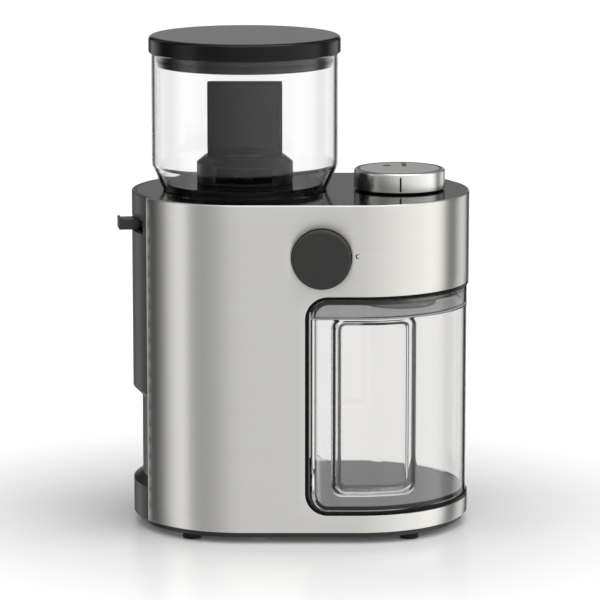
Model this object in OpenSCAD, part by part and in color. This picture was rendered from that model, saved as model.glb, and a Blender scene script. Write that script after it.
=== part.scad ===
// Burr coffee grinder: a brushed steel shell over a black chassis, with a clear bean hopper,
// a pull-out grounds container, a portion dial, a start button and a grind lever.
// The origin is on the surface it stands on, under the middle of the body. The front is -Y.

/* [Body] */
// Width of the body, end to end
body_w = 182; // [178:1:240]
// Depth of the body, which is also the diameter of its round ends
body_d = 120; // [118:1:160]
// Height of the lower edge of the steel shell above the table
shell_z = 6; // [5:0.5:10]
// Thickness of the steel sheet
skin = 1; // [0.8:0.1:1.5]
// Wall thickness of the plastic mouldings
wall = 2.5; // [2:0.1:3]
// Distance of the shell's two vertical seams from the middle plane
seam_y = 31; // [28:1:36]
// Height of the closed head above the window
head_h = 48.7; // [48:0.5:70]
// Height of the rubber feet
foot_h = 3; // [2:0.5:5]
// Radius of the rubber feet
foot_r = 5; // [4:0.5:7]

/* [Window and container] */
// Height of the window's lower edge above the shell's lower edge
sill_h = 9.3; // [8:0.1:16]
// Height of the window
window_h = 118; // [110:1:160]
// Corner radius of the window
window_r = 12; // [8:0.5:16]
// Width of the black trim round the window
trim_w = 1.8; // [1:0.1:3]
// Wall thickness of the grounds container
jar_t = 2.2; // [1.8:0.1:3]
// Height of the container's lid
jar_lid_h = 9.3; // [8:0.1:14]
// Outer radius of the round inlet in the container's lid
inlet_r = 20.3; // [16:0.1:24]
// Width of the grip recess in the container's front
grip_w = 37.5; // [30:0.5:42]
// Depth of the grip recess
grip_d = 5; // [3:0.5:8]

/* [Hopper] */
// Distance of the hopper and burr axis from the body's left end
burr_from_end = 61; // [60:0.5:66]
// Outer radius of the bean hopper
hopper_r = 50.2; // [44:0.2:54]
// Outer radius of the bean hopper where it stands on the body
hopper_foot_r = 44.2; // [40:0.2:46]
// Height of the bean hopper above the body
hopper_h = 74; // [60:1:110]
// Height of the hopper's tapered foot
taper_h = 13.6; // [8:0.2:20]
// Wall thickness of the hopper
glass_t = 2.3; // [1.8:0.1:3]
// How far the lid stands out past the hopper
lid_lip = 1.4; // [0.8:0.1:3]
// Height of the lid's rim
lid_h = 8.9; // [6:0.1:14]
// Depth of the lid's plug in the hopper
plug_h = 7.3; // [5:0.1:12]
// Width of the upright handle of the bean gate
handle_w = 40.3; // [30:0.1:44]
// Radius of the bean gate's cap
gate_r = 25.85; // [22:0.05:28]

/* [Grinding] */
// Outer radius of the burrs
burr_r = 27; // [22:0.5:28]
// Thickness of each burr
burr_t = 5; // [4:0.5:6]
// Gap between the burrs at this setting
burr_gap = 0.6; // [0.4:0.1:1.2]
// Radius of the throat through the upper burr
throat_r = 14; // [11:0.5:15]
// Radius of the drive shaft
shaft_r = 4; // [3:0.5:5]
// Number of cutting grooves in each burr
burr_grooves = 24; // [12:1:32]
// How far the grind lever stands out past the body's wall
lever_out = 7.7; // [6:0.1:12]
// Height of the lever's finger block
lever_h = 6.2; // [5:0.1:7]
// Angle of the lever at rest, counted from straight left towards the front
lever_a = 8; // [0:1:12]

/* [Drive] */
// Tooth size of the gears (module)
gear_m = 1; // [0.9:0.01:1.05]
// Teeth of the gear on the burr shaft
out_teeth = 50; // [44:2:50]
// Teeth of the small gear of the idler
idler_small = 14; // [14:2:16]
// Teeth of the large gear of the idler
idler_big = 44; // [36:2:44]
// Teeth of the motor pinion
pinion_teeth = 12; // [12:1:14]
// Radius of the motor
motor_r = 22; // [18:0.5:24]
// Height of the motor
motor_h = 60; // [50:1:70]
// Radius of the motor shaft
rotor_r = 2.5; // [2:0.25:3]

/* [Controls] */
// Radius of the start button
button_r = 15.5; // [12:0.5:18]
// How far the start button stands out
button_out = 8; // [5:0.5:10]
// How far the start button moves
button_travel = 2.5; // [1.5:0.5:3.5]
// Distance of the button to the right of the burr axis
button_x = 41; // [38:0.5:46]
// Distance of the button below the top of the body
button_down = 28; // [26:0.5:30]
// Radius of the portion dial
dial_r = 24.5; // [20:0.5:26]
// Height of the portion dial
dial_h = 11; // [8:0.5:14]
// Distance of the dial and inlet axis from the body's right end
dial_from_end = 37.8; // [36:0.2:42]

/* [Clearances] */
// Gap between parts that slide past each other
slide_gap = 0.3; // [0.2:0.05:0.4]
// Gap round a shaft that turns in its hole
run_gap = 0.05; // [0.02:0.01:0.08]
// Gap round a pressed-in or screwed-in piece
fit_gap = 0.05; // [0.02:0.01:0.1]

/* [Hidden] */
$fn = 96;
eps = 0.01;
big = 400;

// Plan of the body
end_r = body_d / 2;
end_x = body_w / 2 - end_r;
burr_x = burr_from_end - body_w / 2;
dial_x = body_w / 2 - dial_from_end;
divider_x = burr_x + 32.3;
inner_r = end_r - wall;
seam_a = asin(seam_y / end_r);

// Distance from the burr axis to the body's wall along the lever at rest, and to the root of its finger block
wall_reach = (burr_x + end_x) * cos(lever_a) + sqrt(pow(end_r, 2) - pow((burr_x + end_x) * sin(lever_a), 2));
lever_root = wall_reach - wall - 0.85;

// Heights, from the table up
window_z = shell_z + sill_h;
window_top = window_z + window_h;
body_h = window_top + head_h;
floor_z = window_z + trim_w;
deck_z = window_top + slide_gap;
deck_t = 2.8;
deck_top = deck_z + deck_t;
chamber_z = deck_z + 3.9;
vane_h = 5.6;
impeller_z = chamber_z + 1.6;
disc_t = 4;
lower_z = impeller_z + vane_h + disc_t;
upper_z = lower_z + burr_t + burr_gap;
carrier_z = upper_z + burr_t;
ring_z = carrier_z - 0.9;
ring_h = 12.5;
cover_z = ring_z + ring_h + slide_gap;
cover_t = 2.4;
panel_t = 3;
button_z = body_h - button_down;
lever_z = ring_z + ring_h / 2 + 0.4;

// Burr chamber
chamber_r = burr_r + 2.3;
chamber_t = 4.7;
chamber_out = chamber_r + chamber_t;
tab_angles = [60, 120, 240, 300];
tab_out = chamber_out + 7;

// Gear train: the axes follow from the tooth counts
out_r = gear_m * out_teeth / 2;
big_r = gear_m * idler_big / 2;
small_r = gear_m * idler_small / 2;
pinion_r = gear_m * pinion_teeth / 2;
idler_dir = 150;
motor_dir = -60;
idler_x = burr_x + (out_r + small_r) * cos(idler_dir);
idler_y = (out_r + small_r) * sin(idler_dir);
motor_x = idler_x + (big_r + pinion_r) * cos(motor_dir);
motor_y = idler_y + (big_r + pinion_r) * sin(motor_dir);
gearbox_top = deck_z - 11.6;
plate_t = 3;
gearbox_h = 30;
gearbox_z = gearbox_top - gearbox_h;
low_gear_z = gearbox_z + plate_t + 3;
low_gear_h = 8;
high_gear_z = low_gear_z + low_gear_h + 2;
high_gear_h = 8;
mount_t = 2.5;
can_t = 1.5;
can_top = gearbox_z - mount_t;
can_z = can_top - motor_h;
pin_r = 2.5;
bush_t = 3.5;

// Container and lid
jar_r = end_r - skin + 0.1;
jar_z = floor_z + slide_gap;
jar_top = window_top - trim_w - slide_gap;
jar_rim = jar_top - jar_lid_h;
seal_t = 0.8;
jar_left = divider_x + wall + slide_gap;
jar_corner = window_r - trim_w - slide_gap;
grip_z = jar_z + 11.6;
grip_x = dial_x - 14.7;

// Hopper
hopper_z = body_h + slide_gap;
hopper_top = body_h + hopper_h + slide_gap;
hopper_in = hopper_r - glass_t;
plug_r = hopper_in - slide_gap;
lid_z = hopper_top + 0.1;
neck_r = 26.2;
neck_z = cover_z + cover_t + 0.5;
hopper_floor = hopper_z + 4.3;
gate_z = hopper_floor + slide_gap;
sector_a = 70;
bean_ways = [90, 270];
handle_t = 3;
handle_top = hopper_h - 15.9;

// Outline of the body, made smaller by inset
module outline(inset = 0) {
    r = end_r - inset;
    square([2 * end_x, 2 * r], center = true);
    for (side = [-1, 1]) translate([side * end_x, 0]) circle(r);
}

// Outline of the body as a wall between two insets
module outline_wall(outer, inner) {
    difference() {
        outline(outer);
        outline(inner);
    }
}

// The part of the plan that the steel covers: the front, and round both ends as far as the seams
module steel_side(gap = 0) {
    polygon([[-big, -big], [big, -big], [big, seam_y - gap], [end_x, seam_y - gap], [end_x, 0],
             [-end_x, 0], [-end_x, -seam_y - gap], [-big, -seam_y - gap]]);
}

// The rest of the plan, behind the seams
module rear_side() {
    polygon([[-big, big], [big, big], [big, seam_y], [end_x, seam_y], [end_x, 0],
             [-end_x, 0], [-end_x, -seam_y], [-big, -seam_y]]);
}

// Rounded rectangle from a corner point
module rounded(size, r) {
    translate([r, 0]) square([size[0] - 2 * r, size[1]]);
    translate([0, r]) square([size[0], size[1] - 2 * r]);
    for (x = [r, size[0] - r], y = [r, size[1] - r]) translate([x, y]) circle(r);
}

// Opening seen from the front, running through the whole depth and out at the right
module window_cut(x, z, h, r, depth = big) {
    translate([x, depth / 2, z]) rotate([90, 0, 0])
        linear_extrude(depth) rounded([big, h], r);
}

module tube(r_out, r_in, h) {
    linear_extrude(h) difference() {
        circle(r_out);
        circle(r_in);
    }
}

// Moves its children to the burr axis, the idler axis or the motor axis
module at_burr(z = 0) { translate([burr_x, 0, z]) children(); }
module at_idler(z = 0) { translate([idler_x, idler_y, z]) children(); }
module at_motor(z = 0) { translate([motor_x, motor_y, z]) children(); }
module at_dial(z = 0) { translate([dial_x, 0, z]) children(); }

// A screw with its head up: it stands on z = 0 and its shank goes down
module screw(r, l, head_r, head_h) {
    translate([0, 0, -l]) cylinder(r = r, h = l + eps);
    difference() {
        cylinder(r = head_r, h = head_h);
        translate([0, 0, head_h / 2]) cylinder(r = head_r / 2, h = head_h);
    }
}

// Places of the feet, one of them in the middle, of the screws in the base and of the posts in the left half.
// The front post stands clear of the button's guide.
foot_ring = end_r - 7.5;
foot_a = 59;
foot_places = concat([[0, 0]], [for (x = [-1, 1], y = [-1, 1])
    [x * (end_x + foot_ring * cos(foot_a)), y * foot_ring * sin(foot_a)]]);
post_r = 4;
post_ring = inner_r - 9.5;
guide_r = button_r + 1.9;
front_post = [burr_x + button_x - guide_r - post_r - 12.3, -0.985 * post_ring];
post_places = concat([for (a = [95, 225]) [-end_x + post_ring * cos(a), post_ring * sin(a)]], [front_post]);
floor_screws = [[dial_x - 25, 0], [dial_x + 20, 0]];
screw_places = concat(post_places, floor_screws);
base_t = 3.9;
base_z = foot_h;
base_top = base_z + base_t;
screw_r = 1.6;

module base_plate() {
    color("#1d1e1f") difference() {
        translate([0, 0, base_z]) linear_extrude(base_t) difference() {
            outline(wall + 0.1);
            for (p = foot_places) translate(p) circle(foot_r / 2 + fit_gap);
            for (p = screw_places) translate(p) circle(screw_r + 0.2);
            for (i = [-3:3]) translate([motor_x + i * 5, motor_y - 12]) square([2, 24]);
        }
        for (p = screw_places) translate([p[0], p[1], base_z - 1]) cylinder(r = 3.4, h = 2.8);
    }
}

module rubber_feet() {
    color("#111111") for (p = foot_places) translate(p) {
        cylinder(r1 = foot_r - 0.6, r2 = foot_r, h = 0.6 + eps);
        translate([0, 0, 0.6]) cylinder(r = foot_r, h = foot_h - 0.6);
        cylinder(r = foot_r / 2, h = base_top - 0.3);
    }
}

module base_screws() {
    color("#8f9194") for (p = screw_places) translate([p[0], p[1], base_z + 1.8]) mirror([0, 0, 1])
        screw(screw_r, 9, 3, 1.5);
}

module steel_shell() {
    color("#c9c9c6") difference() {
        translate([0, 0, shell_z]) linear_extrude(body_h - shell_z) intersection() {
            outline_wall(0, skin);
            steel_side(0.25);
        }
        window_cut(divider_x, window_z, window_h, window_r);
        translate([burr_x + button_x, -end_r + 10, button_z]) rotate([90, 0, 0])
            cylinder(r = button_r + slide_gap, h = 20);
    }
}

// Finger recess in the left end: a ring sector that runs from the shell's seam round to the back
recess_z = window_z + 8.9;
recess_h = 51.4;
recess_d = 5;
recess_a = 120;

// Lever slot: a ring sector round the burr axis
slot_spare = 7.5;
slot_gap = 0.6;
lever_front = 12;
lever_rear = 36;

module rear_housing() {
    color("#232425") difference() {
        union() {
            translate([0, 0, shell_z]) linear_extrude(body_h - shell_z) intersection() {
                outline_wall(0, wall);
                rear_side();
            }
            translate([-end_x, 0, recess_z - 4]) rotate([0, 0, recess_a - 4])
                rotate_extrude(angle = 180 + seam_a - recess_a + 12) translate([end_r - recess_d - wall, 0])
                    square([recess_d + wall - skin - 0.2, recess_h + 8]);
        }
        translate([-end_x, 0, recess_z]) rotate([0, 0, recess_a])
            rotate_extrude(angle = 180 + seam_a - recess_a + 2) polygon([
                [end_r - recess_d, 3.4], [end_r + 1, -0.8], [end_r + 1, recess_h + 1], [end_r - recess_d, recess_h - 5]]);
        window_cut(divider_x, window_z, window_h, window_r);
        at_burr(lever_z - lever_h / 2 - slot_gap) rotate([0, 0, 180 + lever_a - lever_rear - slot_spare])
            rotate_extrude(angle = lever_front + lever_rear + 2 * slot_spare)
                translate([wall_reach - 9, 0]) square([20, lever_h + 2 * slot_gap]);
        for (i = [0:6]) translate([burr_x - 18 + 6 * i, end_r - wall - 1, window_z + 22])
            cube([2.4, wall + 2, 26]);
        translate([cord_x, 0, cord_z]) rotate([-90, 0, 0]) cylinder(r = gland_r + fit_gap, h = big);
    }
}

module top_panel() {
    color("#151516") difference() {
        union() {
            translate([0, 0, body_h - panel_t]) linear_extrude(panel_t) outline(wall + 0.1);
            translate([0, 0, body_h - panel_t + eps]) linear_extrude(panel_t - eps) intersection() {
                outline_wall(skin + 0.2, wall + 0.1 + eps);
                steel_side(1);
            }
            for (p = post_places) translate([p[0], p[1], deck_top]) cylinder(r = post_r, h = body_h - deck_top - 1);
        }
        at_burr(body_h - panel_t - 1) cylinder(r = neck_r + slide_gap, h = panel_t + 2);
        at_dial(body_h - panel_t - 1) cylinder(r = dial_shaft_r + 0.4, h = panel_t + 2);
        for (p = post_places) translate([p[0], p[1], deck_top - eps]) cylinder(r = screw_r, h = 12);
    }
}

// Floor under the container, the wall that divides the body and the deck that carries the burrs
module chassis() {
    color("#3a3b3c") difference() {
        union() {
            intersection() {
                translate([0, 0, base_top]) linear_extrude(floor_z - base_top) outline(wall + 0.1);
                translate([divider_x, -big / 2, 0]) cube([big, big, big]);
            }
            intersection() {
                translate([0, 0, floor_z - 1]) linear_extrude(deck_z - floor_z + 1 + eps) outline(wall + 0.2);
                translate([divider_x, -big / 2, 0]) cube([wall, big, big]);
            }
            translate([0, 0, deck_z]) linear_extrude(deck_t) outline(wall + 0.2);
        }
        intersection() {
            translate([0, 0, base_top - 1]) linear_extrude(floor_z - base_top - wall + 1) difference() {
                outline(2 * wall + 0.1);
                for (p = floor_screws) translate(p) circle(post_r);
            }
            translate([divider_x + wall, -big / 2, 0]) cube([big, big, big]);
        }
        for (p = floor_screws) translate([p[0], p[1], base_top - eps]) cylinder(r = screw_r, h = 7);
        at_burr(deck_z - 1) cylinder(r = chamber_out + 0.3, h = deck_t + 2);
        at_dial(deck_z - 1) cylinder(r = spout_r + fit_gap, h = deck_t + 2);
        for (p = post_places) translate([p[0], p[1], deck_z - 1]) cylinder(r = screw_r, h = deck_t + 2);
        for (a = tab_angles) at_burr(deck_z - 1) rotate([0, 0, a]) translate([tab_out - 3.5, 0])
            cylinder(r = 1.5, h = deck_t + 2);
    }
}

module chassis_posts() {
    color("#2d2e2f") for (p = post_places) translate([p[0], p[1], base_top]) difference() {
        cylinder(r = post_r, h = deck_z - base_top);
        translate([0, 0, -eps]) cylinder(r = screw_r, h = 9);
        translate([0, 0, deck_z - base_top - 8]) cylinder(r = screw_r, h = 9);
    }
}

module window_trim() {
    color("#0f0f10") difference() {
        intersection() {
            translate([0, 0, shell_z]) linear_extrude(body_h - shell_z) intersection() {
                outline_wall(0.15, wall);
                steel_side(0.25);
            }
            window_cut(divider_x + 0.02, window_z + 0.02, window_h - 0.04, window_r);
        }
        window_cut(divider_x + trim_w, window_z + trim_w, window_h - 2 * trim_w, window_r - trim_w);
    }
}

// Gland for a mains lead, low in the back
gland_r = 6.5;
lead_r = 3.5;
cord_x = post_places[0][0] + post_r + gland_r + 6.7;
cord_z = window_z + 8;
gland_l = 16;

module cord_gland() {
    color("#161617") translate([cord_x, end_r + 1.5, cord_z]) rotate([90, 0, 0]) difference() {
        union() {
            cylinder(r = gland_r, h = gland_l);
            cylinder(r = gland_r + 1.5, h = 1.5);
            translate([0, 0, 1.5 + wall + 0.05]) cylinder(r = gland_r + 1.5, h = 2);
        }
        translate([0, 0, -1]) cylinder(r = lead_r, h = gland_l + 2);
    }
}

module motor_can() {
    color("#77797c") at_motor(can_z) difference() {
        cylinder(r = motor_r, h = motor_h);
        translate([0, 0, -1]) cylinder(r = motor_r - can_t, h = motor_h + 1 - 2);
        cylinder(r = 5 + fit_gap, h = motor_h + 1);
        for (a = [0:45:315]) rotate([0, 0, a]) translate([motor_r - 8, 0, motor_h - 3]) cylinder(r = 2, h = 4);
    }
}

module motor_endcap() {
    color("#3b2f28") at_motor(can_z - 4) difference() {
        union() {
            cylinder(r = motor_r, h = 3.9);
            translate([0, 0, 3.8]) cylinder(r = 8, h = 4);
        }
        translate([0, 0, 2]) cylinder(r = 5 + fit_gap, h = 8);
        for (a = [30:60:330]) rotate([0, 0, a]) translate([motor_r - 7, 0, -1]) cylinder(r = 2.5, h = 8);
    }
}

module motor_stator() {
    color("#8a3b1d") at_motor(can_z + 14) linear_extrude(motor_h - 26) difference() {
        circle(motor_r - can_t - fit_gap);
        circle(armature_r + 0.6);
        for (a = [0, 90]) rotate([0, 0, a]) translate([-1.5, -big / 2]) square([3, big / 2 - armature_r - 3]);
        for (a = [45:90:315]) rotate([0, 0, a]) translate([armature_r + 1.5, -3]) square([3, 6]);
    }
}

module motor_bearings() {
    color("#b88a3e") for (z = [can_z - 2 + fit_gap, can_top - 5]) at_motor(z) tube(5, rotor_r + fit_gap, 4.9);
}

module motor_mount() {
    color("#101010") at_motor(can_top) difference() {
        cylinder(r = motor_r - 1, h = mount_t);
        translate([0, 0, -1]) cylinder(r = motor_r - 6, h = mount_t + 2);
    }
}

armature_r = 13;

module motor_shaft() {
    color("#b9bbbe") at_motor(can_z - 1.5) cylinder(r = rotor_r, h = low_gear_z + low_gear_h - can_z + 2.5);
}

module armature() {
    color("#5a4636") at_motor(can_z + 14) linear_extrude(motor_h - 28) difference() {
        circle(armature_r);
        circle(rotor_r + fit_gap);
        for (a = [0:30:330]) rotate([0, 0, a]) translate([armature_r - 3, -1]) square([4, 2]);
    }
}

module commutator() {
    color("#b06a34") at_motor(can_z + 5) linear_extrude(8) difference() {
        circle(8);
        circle(rotor_r + fit_gap);
        for (a = [0:30:330]) rotate([0, 0, a]) translate([7, -0.4]) square([2, 0.8]);
    }
}

module cooling_fan() {
    color("#e6e3da") at_motor(can_top - 12) {
        tube(5, rotor_r + fit_gap, 5);
        tube(motor_r - can_t - 2, rotor_r + fit_gap, 1.2);
        for (a = [0:40:320]) rotate([0, 0, a + 10]) translate([4.8, -0.6, 0]) cube([motor_r - can_t - 7.5, 1.2, 5]);
    }
}

// Involute spur gear: each flank follows the involute of the base circle, thinned for backlash
pressure_a = 20;
backlash_a = 0.35;
flank_steps = 3;
function inv(r, base) = r > base ? let (t = sqrt(r * r / (base * base) - 1)) t * 180 / PI - atan(t) : 0;
function flank(teeth, side) =
    let (
        pitch = gear_m * teeth / 2,
        base = pitch * cos(pressure_a),
        root = pitch - 1.25 * gear_m,
        tip = pitch + gear_m,
        start = max(root, base),
        half = 90 / teeth - backlash_a + inv(pitch, base),
        radii = concat([root], [for (i = [0:flank_steps]) start + (tip - start) * i / flank_steps])
    )
    [for (r = radii) [r, side * (half - inv(r, base))]];
function tooth(teeth, turn) =
    let (rise = flank(teeth, -1), fall = flank(teeth, 1), n = len(rise))
    concat([for (p = rise) p[0] * [cos(turn + p[1]), sin(turn + p[1])]],
           [for (i = [n - 1:-1:0]) fall[i][0] * [cos(turn + fall[i][1]), sin(turn + fall[i][1])]]);

module gear(teeth, h) {
    linear_extrude(h) polygon([for (i = [0:teeth - 1]) each tooth(teeth, i * 360 / teeth)]);
}

// Angle that puts a tooth space of the second gear on a tooth of the first
function mesh_turn(teeth_1, turn_1, teeth_2, dir) =
    dir + 180 + 180 / teeth_2 + (dir - turn_1) * teeth_1 / teeth_2;
idler_small_turn = mesh_turn(out_teeth, 0, idler_small, idler_dir);
pinion_turn = mesh_turn(idler_big, 0, pinion_teeth, motor_dir);

module motor_pinion() {
    color("#c2a14a") at_motor(low_gear_z - 0.5) difference() {
        rotate([0, 0, pinion_turn]) gear(pinion_teeth, low_gear_h + 1);
        translate([0, 0, -1]) cylinder(r = rotor_r + fit_gap / 2, h = low_gear_h + 3);
    }
}

module idler_gear() {
    rise = high_gear_z - low_gear_z;
    color("#efece2") at_idler(low_gear_z) difference() {
        union() {
            gear(idler_big, low_gear_h);
            translate([0, 0, low_gear_h - 1]) cylinder(r = small_r - 2, h = rise - low_gear_h + 2);
            translate([0, 0, rise]) rotate([0, 0, idler_small_turn]) gear(idler_small, high_gear_h);
        }
        translate([0, 0, -1]) cylinder(r = pin_r + run_gap, h = rise + high_gear_h + 2);
    }
}

module output_gear() {
    color("#efece2") at_burr(high_gear_z) difference() {
        gear(out_teeth, high_gear_h);
        translate([0, 0, -1]) cylinder(r = shaft_r + fit_gap, h = high_gear_h + 2);
        for (z = [-eps, high_gear_h - 2.5]) translate([0, 0, z])
            tube(out_r - 4.5, shaft_r + 5, 2.5 + eps);
    }
}

// Outline that goes round all three gears, plus a margin
module gearbox_outline(grow) {
    translate([burr_x, 0]) circle(out_r + 1.6 * gear_m + grow);
    translate([idler_x, idler_y]) circle(big_r + 1.6 * gear_m + grow);
    translate([motor_x, motor_y]) circle(motor_r + 0.5 + grow);
}

module gearbox_housing() {
    color("#44474a") difference() {
        translate([0, 0, gearbox_z]) linear_extrude(gearbox_h - plate_t) gearbox_outline(1.6);
        translate([0, 0, gearbox_z + plate_t]) linear_extrude(gearbox_h) gearbox_outline(0);
        at_motor(gearbox_z - 1) cylinder(r = rotor_r + 2, h = 6);
        at_burr(gearbox_z - 1) cylinder(r = shaft_r + bush_t, h = 6);
        at_idler(gearbox_z + plate_t - 2) cylinder(r = pin_r + fit_gap, h = 6);
    }
}

module gearbox_cover() {
    color("#44474a") difference() {
        translate([0, 0, gearbox_top - plate_t]) linear_extrude(plate_t) gearbox_outline(1.6);
        at_burr(gearbox_top - plate_t - 1) cylinder(r = shaft_r + 1, h = plate_t + 2);
        at_idler(gearbox_top - plate_t - 1) cylinder(r = pin_r + fit_gap, h = plate_t);
    }
}

module gearbox_posts() {
    color("#2d2e2f") for (a = [45, 165, 285]) at_burr(gearbox_top) rotate([0, 0, a]) translate([out_r - 3, 0])
        tube(3.5, 1.5, deck_z - gearbox_top + (chamber_z - deck_z - 3.4));
}

module idler_pin() {
    color("#b9bbbe") at_idler(gearbox_z + plate_t - 2)
        cylinder(r = pin_r, h = gearbox_h - 2 * plate_t + 3.9);
}

seat_z = chamber_z - 3.4;

module burr_shaft() {
    color("#b9bbbe") at_burr(gearbox_z + 0.4) cylinder(r = shaft_r, h = lower_z + 4.5 - gearbox_z);
}

module shaft_bearings() {
    color("#b88a3e") for (z = [gearbox_z, seat_z - 7]) at_burr(z)
        tube(shaft_r + bush_t - fit_gap, shaft_r + run_gap, 5.6);
}

module shaft_seal() {
    color("#7b2a20") at_burr(chamber_z - 2.6) tube(shaft_r + 3, shaft_r + run_gap, 2.6);
}

module burr_housing() {
    color("#2f3133") difference() {
        union() {
            at_burr(seat_z) cylinder(r = chamber_out, h = ring_z - slide_gap - seat_z);
            at_burr(seat_z - 8) cylinder(r = shaft_r + bush_t + 2.5, h = 8.5);
            for (a = tab_angles) at_burr(deck_top) rotate([0, 0, a]) {
                translate([chamber_out - 2, -5, 0]) cube([tab_out - chamber_out - 1.5, 10, 3]);
                translate([tab_out - 3.5, 0, 0]) cylinder(r = 5, h = 3);
                translate([tab_out - 3.5, 0, 0]) cylinder(r = 2.8, h = cover_z - deck_top);
            }
        }
        at_burr(chamber_z) cylinder(r = chamber_r, h = big);
        at_burr(seat_z - 9) cylinder(r = shaft_r + bush_t, h = 7.6);
        at_burr(seat_z - 9) cylinder(r = shaft_r + 0.5, h = 20);
        at_burr(chamber_z - 2.6) cylinder(r = shaft_r + 3 + fit_gap, h = 5);
        translate([burr_x + 10, -chute_w / 2 + wall, chamber_z]) cube([40, chute_w - 2 * wall, chute_in_h]);
        for (a = tab_angles) at_burr(cover_z - 12) rotate([0, 0, a]) translate([tab_out - 3.5, 0])
            cylinder(r = 1.3, h = 20);
    }
}

module impeller() {
    color("#d8d4c8") at_burr(impeller_z) {
        difference() {
            union() {
                translate([0, 0, vane_h]) cylinder(r = burr_r + 1, h = disc_t);
                cylinder(r = shaft_r + 4, h = vane_h + disc_t);
                for (a = [0:60:300]) rotate([0, 0, a])
                    translate([shaft_r + 2, -1.2, 0]) cube([burr_r - shaft_r - 2.5, 2.4, vane_h + 1]);
            }
            translate([0, 0, -1]) cylinder(r = shaft_r + fit_gap, h = vane_h + disc_t + 2);
        }
    }
}

// Bore of the burrs and circle of their screws, from the throat's radius
burr_in = throat_r - 1;
burr_screw_ring = throat_r + 2;

// Flat burr with slanted cutting grooves in its upper face
module burr() {
    difference() {
        tube(burr_r, burr_in, burr_t);
        for (i = [0:burr_grooves - 1]) rotate([0, 0, i * 360 / burr_grooves])
            translate([burr_in + 2, -1, burr_t - 1.3]) rotate([0, 0, 14]) cube([20, 1.7, 3]);
        for (a = [30:120:270]) rotate([0, 0, a]) translate([burr_screw_ring, 0, -1]) cylinder(r = 1.6, h = burr_t + 2);
    }
}

module lower_burr() {
    color("#9a9c9f") at_burr(lower_z) burr();
}

module burr_nut() {
    color("#c5c7ca") at_burr(lower_z + 0.05) difference() {
        cylinder(r = shaft_r + 4, h = 4, $fn = 6);
        translate([0, 0, -1]) cylinder(r = shaft_r + fit_gap, h = 6, $fn = 96);
    }
}

module upper_burr() {
    color("#9a9c9f") at_burr(upper_z + burr_t) mirror([0, 0, 1]) burr();
}

carrier_h = 9.4;
carrier_r = chamber_r - slide_gap;

module burr_carrier() {
    color("#d8d4c8") at_burr(carrier_z) difference() {
        tube(carrier_r, throat_r, carrier_h);
        translate([0, 0, 4]) cylinder(r1 = throat_r - 1, r2 = burr_r - 6, h = carrier_h);
        for (a = [30:120:270]) rotate([0, 0, a]) translate([burr_screw_ring, 0, -1]) cylinder(r = 1.2, h = 20);
    }
}

module burr_screws() {
    color("#c5c7ca") for (a = [30:120:270]) {
        at_burr(upper_z + 1.4) rotate([0, 0, a]) translate([burr_screw_ring, 0]) cylinder(r = 1.15, h = burr_t + 2.4);
    }
}

module adjusting_ring() {
    color("#2f3133") at_burr(ring_z) rotate([0, 0, 180 + lever_a]) difference() {
        union() {
            cylinder(r = chamber_out, h = ring_h);
            translate([chamber_out - 3, -4, lever_z - ring_z - 2])
                cube([lever_root - fit_gap - chamber_out + 3, 8, 4]);
        }
        translate([0, 0, -1]) cylinder(r = chamber_r, h = ring_h + 2);
    }
}

module lever_knob() {
    color("#2b2b2c") at_burr(lever_z - lever_h / 2) rotate([0, 0, 180 + lever_a]) difference() {
        translate([lever_root, -6, 0]) cube([wall_reach + lever_out - lever_root, 12, lever_h]);
        translate([wall_reach - 0.5, -big / 2, lever_h - 0.7]) cube([lever_out - 1, big, 2]);
    }
}

module burr_cover() {
    color("#2f3133") difference() {
        union() {
            at_burr(cover_z) cylinder(r = chamber_out + 0.5, h = cover_t);
            for (a = tab_angles) at_burr(cover_z) rotate([0, 0, a]) translate([tab_out - 3.5, 0])
                cylinder(r = 4, h = cover_t);
        }
        at_burr(cover_z - 1) cylinder(r1 = throat_r, r2 = throat_r + 6, h = cover_t + 2);
        for (a = tab_angles) at_burr(cover_z - 1) rotate([0, 0, a]) translate([tab_out - 3.5, 0])
            cylinder(r = 1.6, h = cover_t + 2);
    }
}

module cover_screws() {
    color("#8f9194") for (a = tab_angles) at_burr(cover_z + cover_t) rotate([0, 0, a])
        translate([tab_out - 3.5, 0]) screw(1.25, 10, 2.6, 1.6);
}

// Duct from the burr chamber to the spout over the container
chute_w = 27;
chute_in_h = 11;
spout_r = 16.8;
chute_x = burr_x + chamber_out + 0.2;
chute_end = dial_x + spout_r + 2;

module grounds_chute() {
    color("#2f3133") difference() {
        translate([chute_x, -spout_r - 1, deck_top]) cube([chute_end - chute_x, 2 * spout_r + 2, chute_in_h + 4]);
        translate([chute_x - 1, -chute_w / 2 + wall, chamber_z])
            cube([dial_x - chute_x, chute_w - 2 * wall, chute_in_h]);
        at_dial(deck_top - 1) cylinder(r = spout_r - 2.5, h = chamber_z + chute_in_h - deck_top + 1);
        at_dial(deck_top - 1) cylinder(r = spout_r + fit_gap, h = 2);
        translate([dial_x, -chute_w / 2 + wall, chamber_z]) mirror([1, 0, 0])
            cube([10, chute_w - 2 * wall, chute_in_h]);
    }
}

module outlet_spout() {
    color("#26282a") at_dial(jar_top + slide_gap) tube(spout_r, spout_r - 2.5, deck_top + 0.9 - jar_top - slide_gap);
}

module bean_hopper() {
    color([0.85, 0.87, 0.88, 0.35]) at_burr(hopper_z) rotate_extrude() polygon([
        [hopper_foot_r - glass_t, 0], [hopper_foot_r, 0], [hopper_r, taper_h], [hopper_r, hopper_h],
        [hopper_in, hopper_h], [hopper_in, taper_h + 0.4]]);
}

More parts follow.
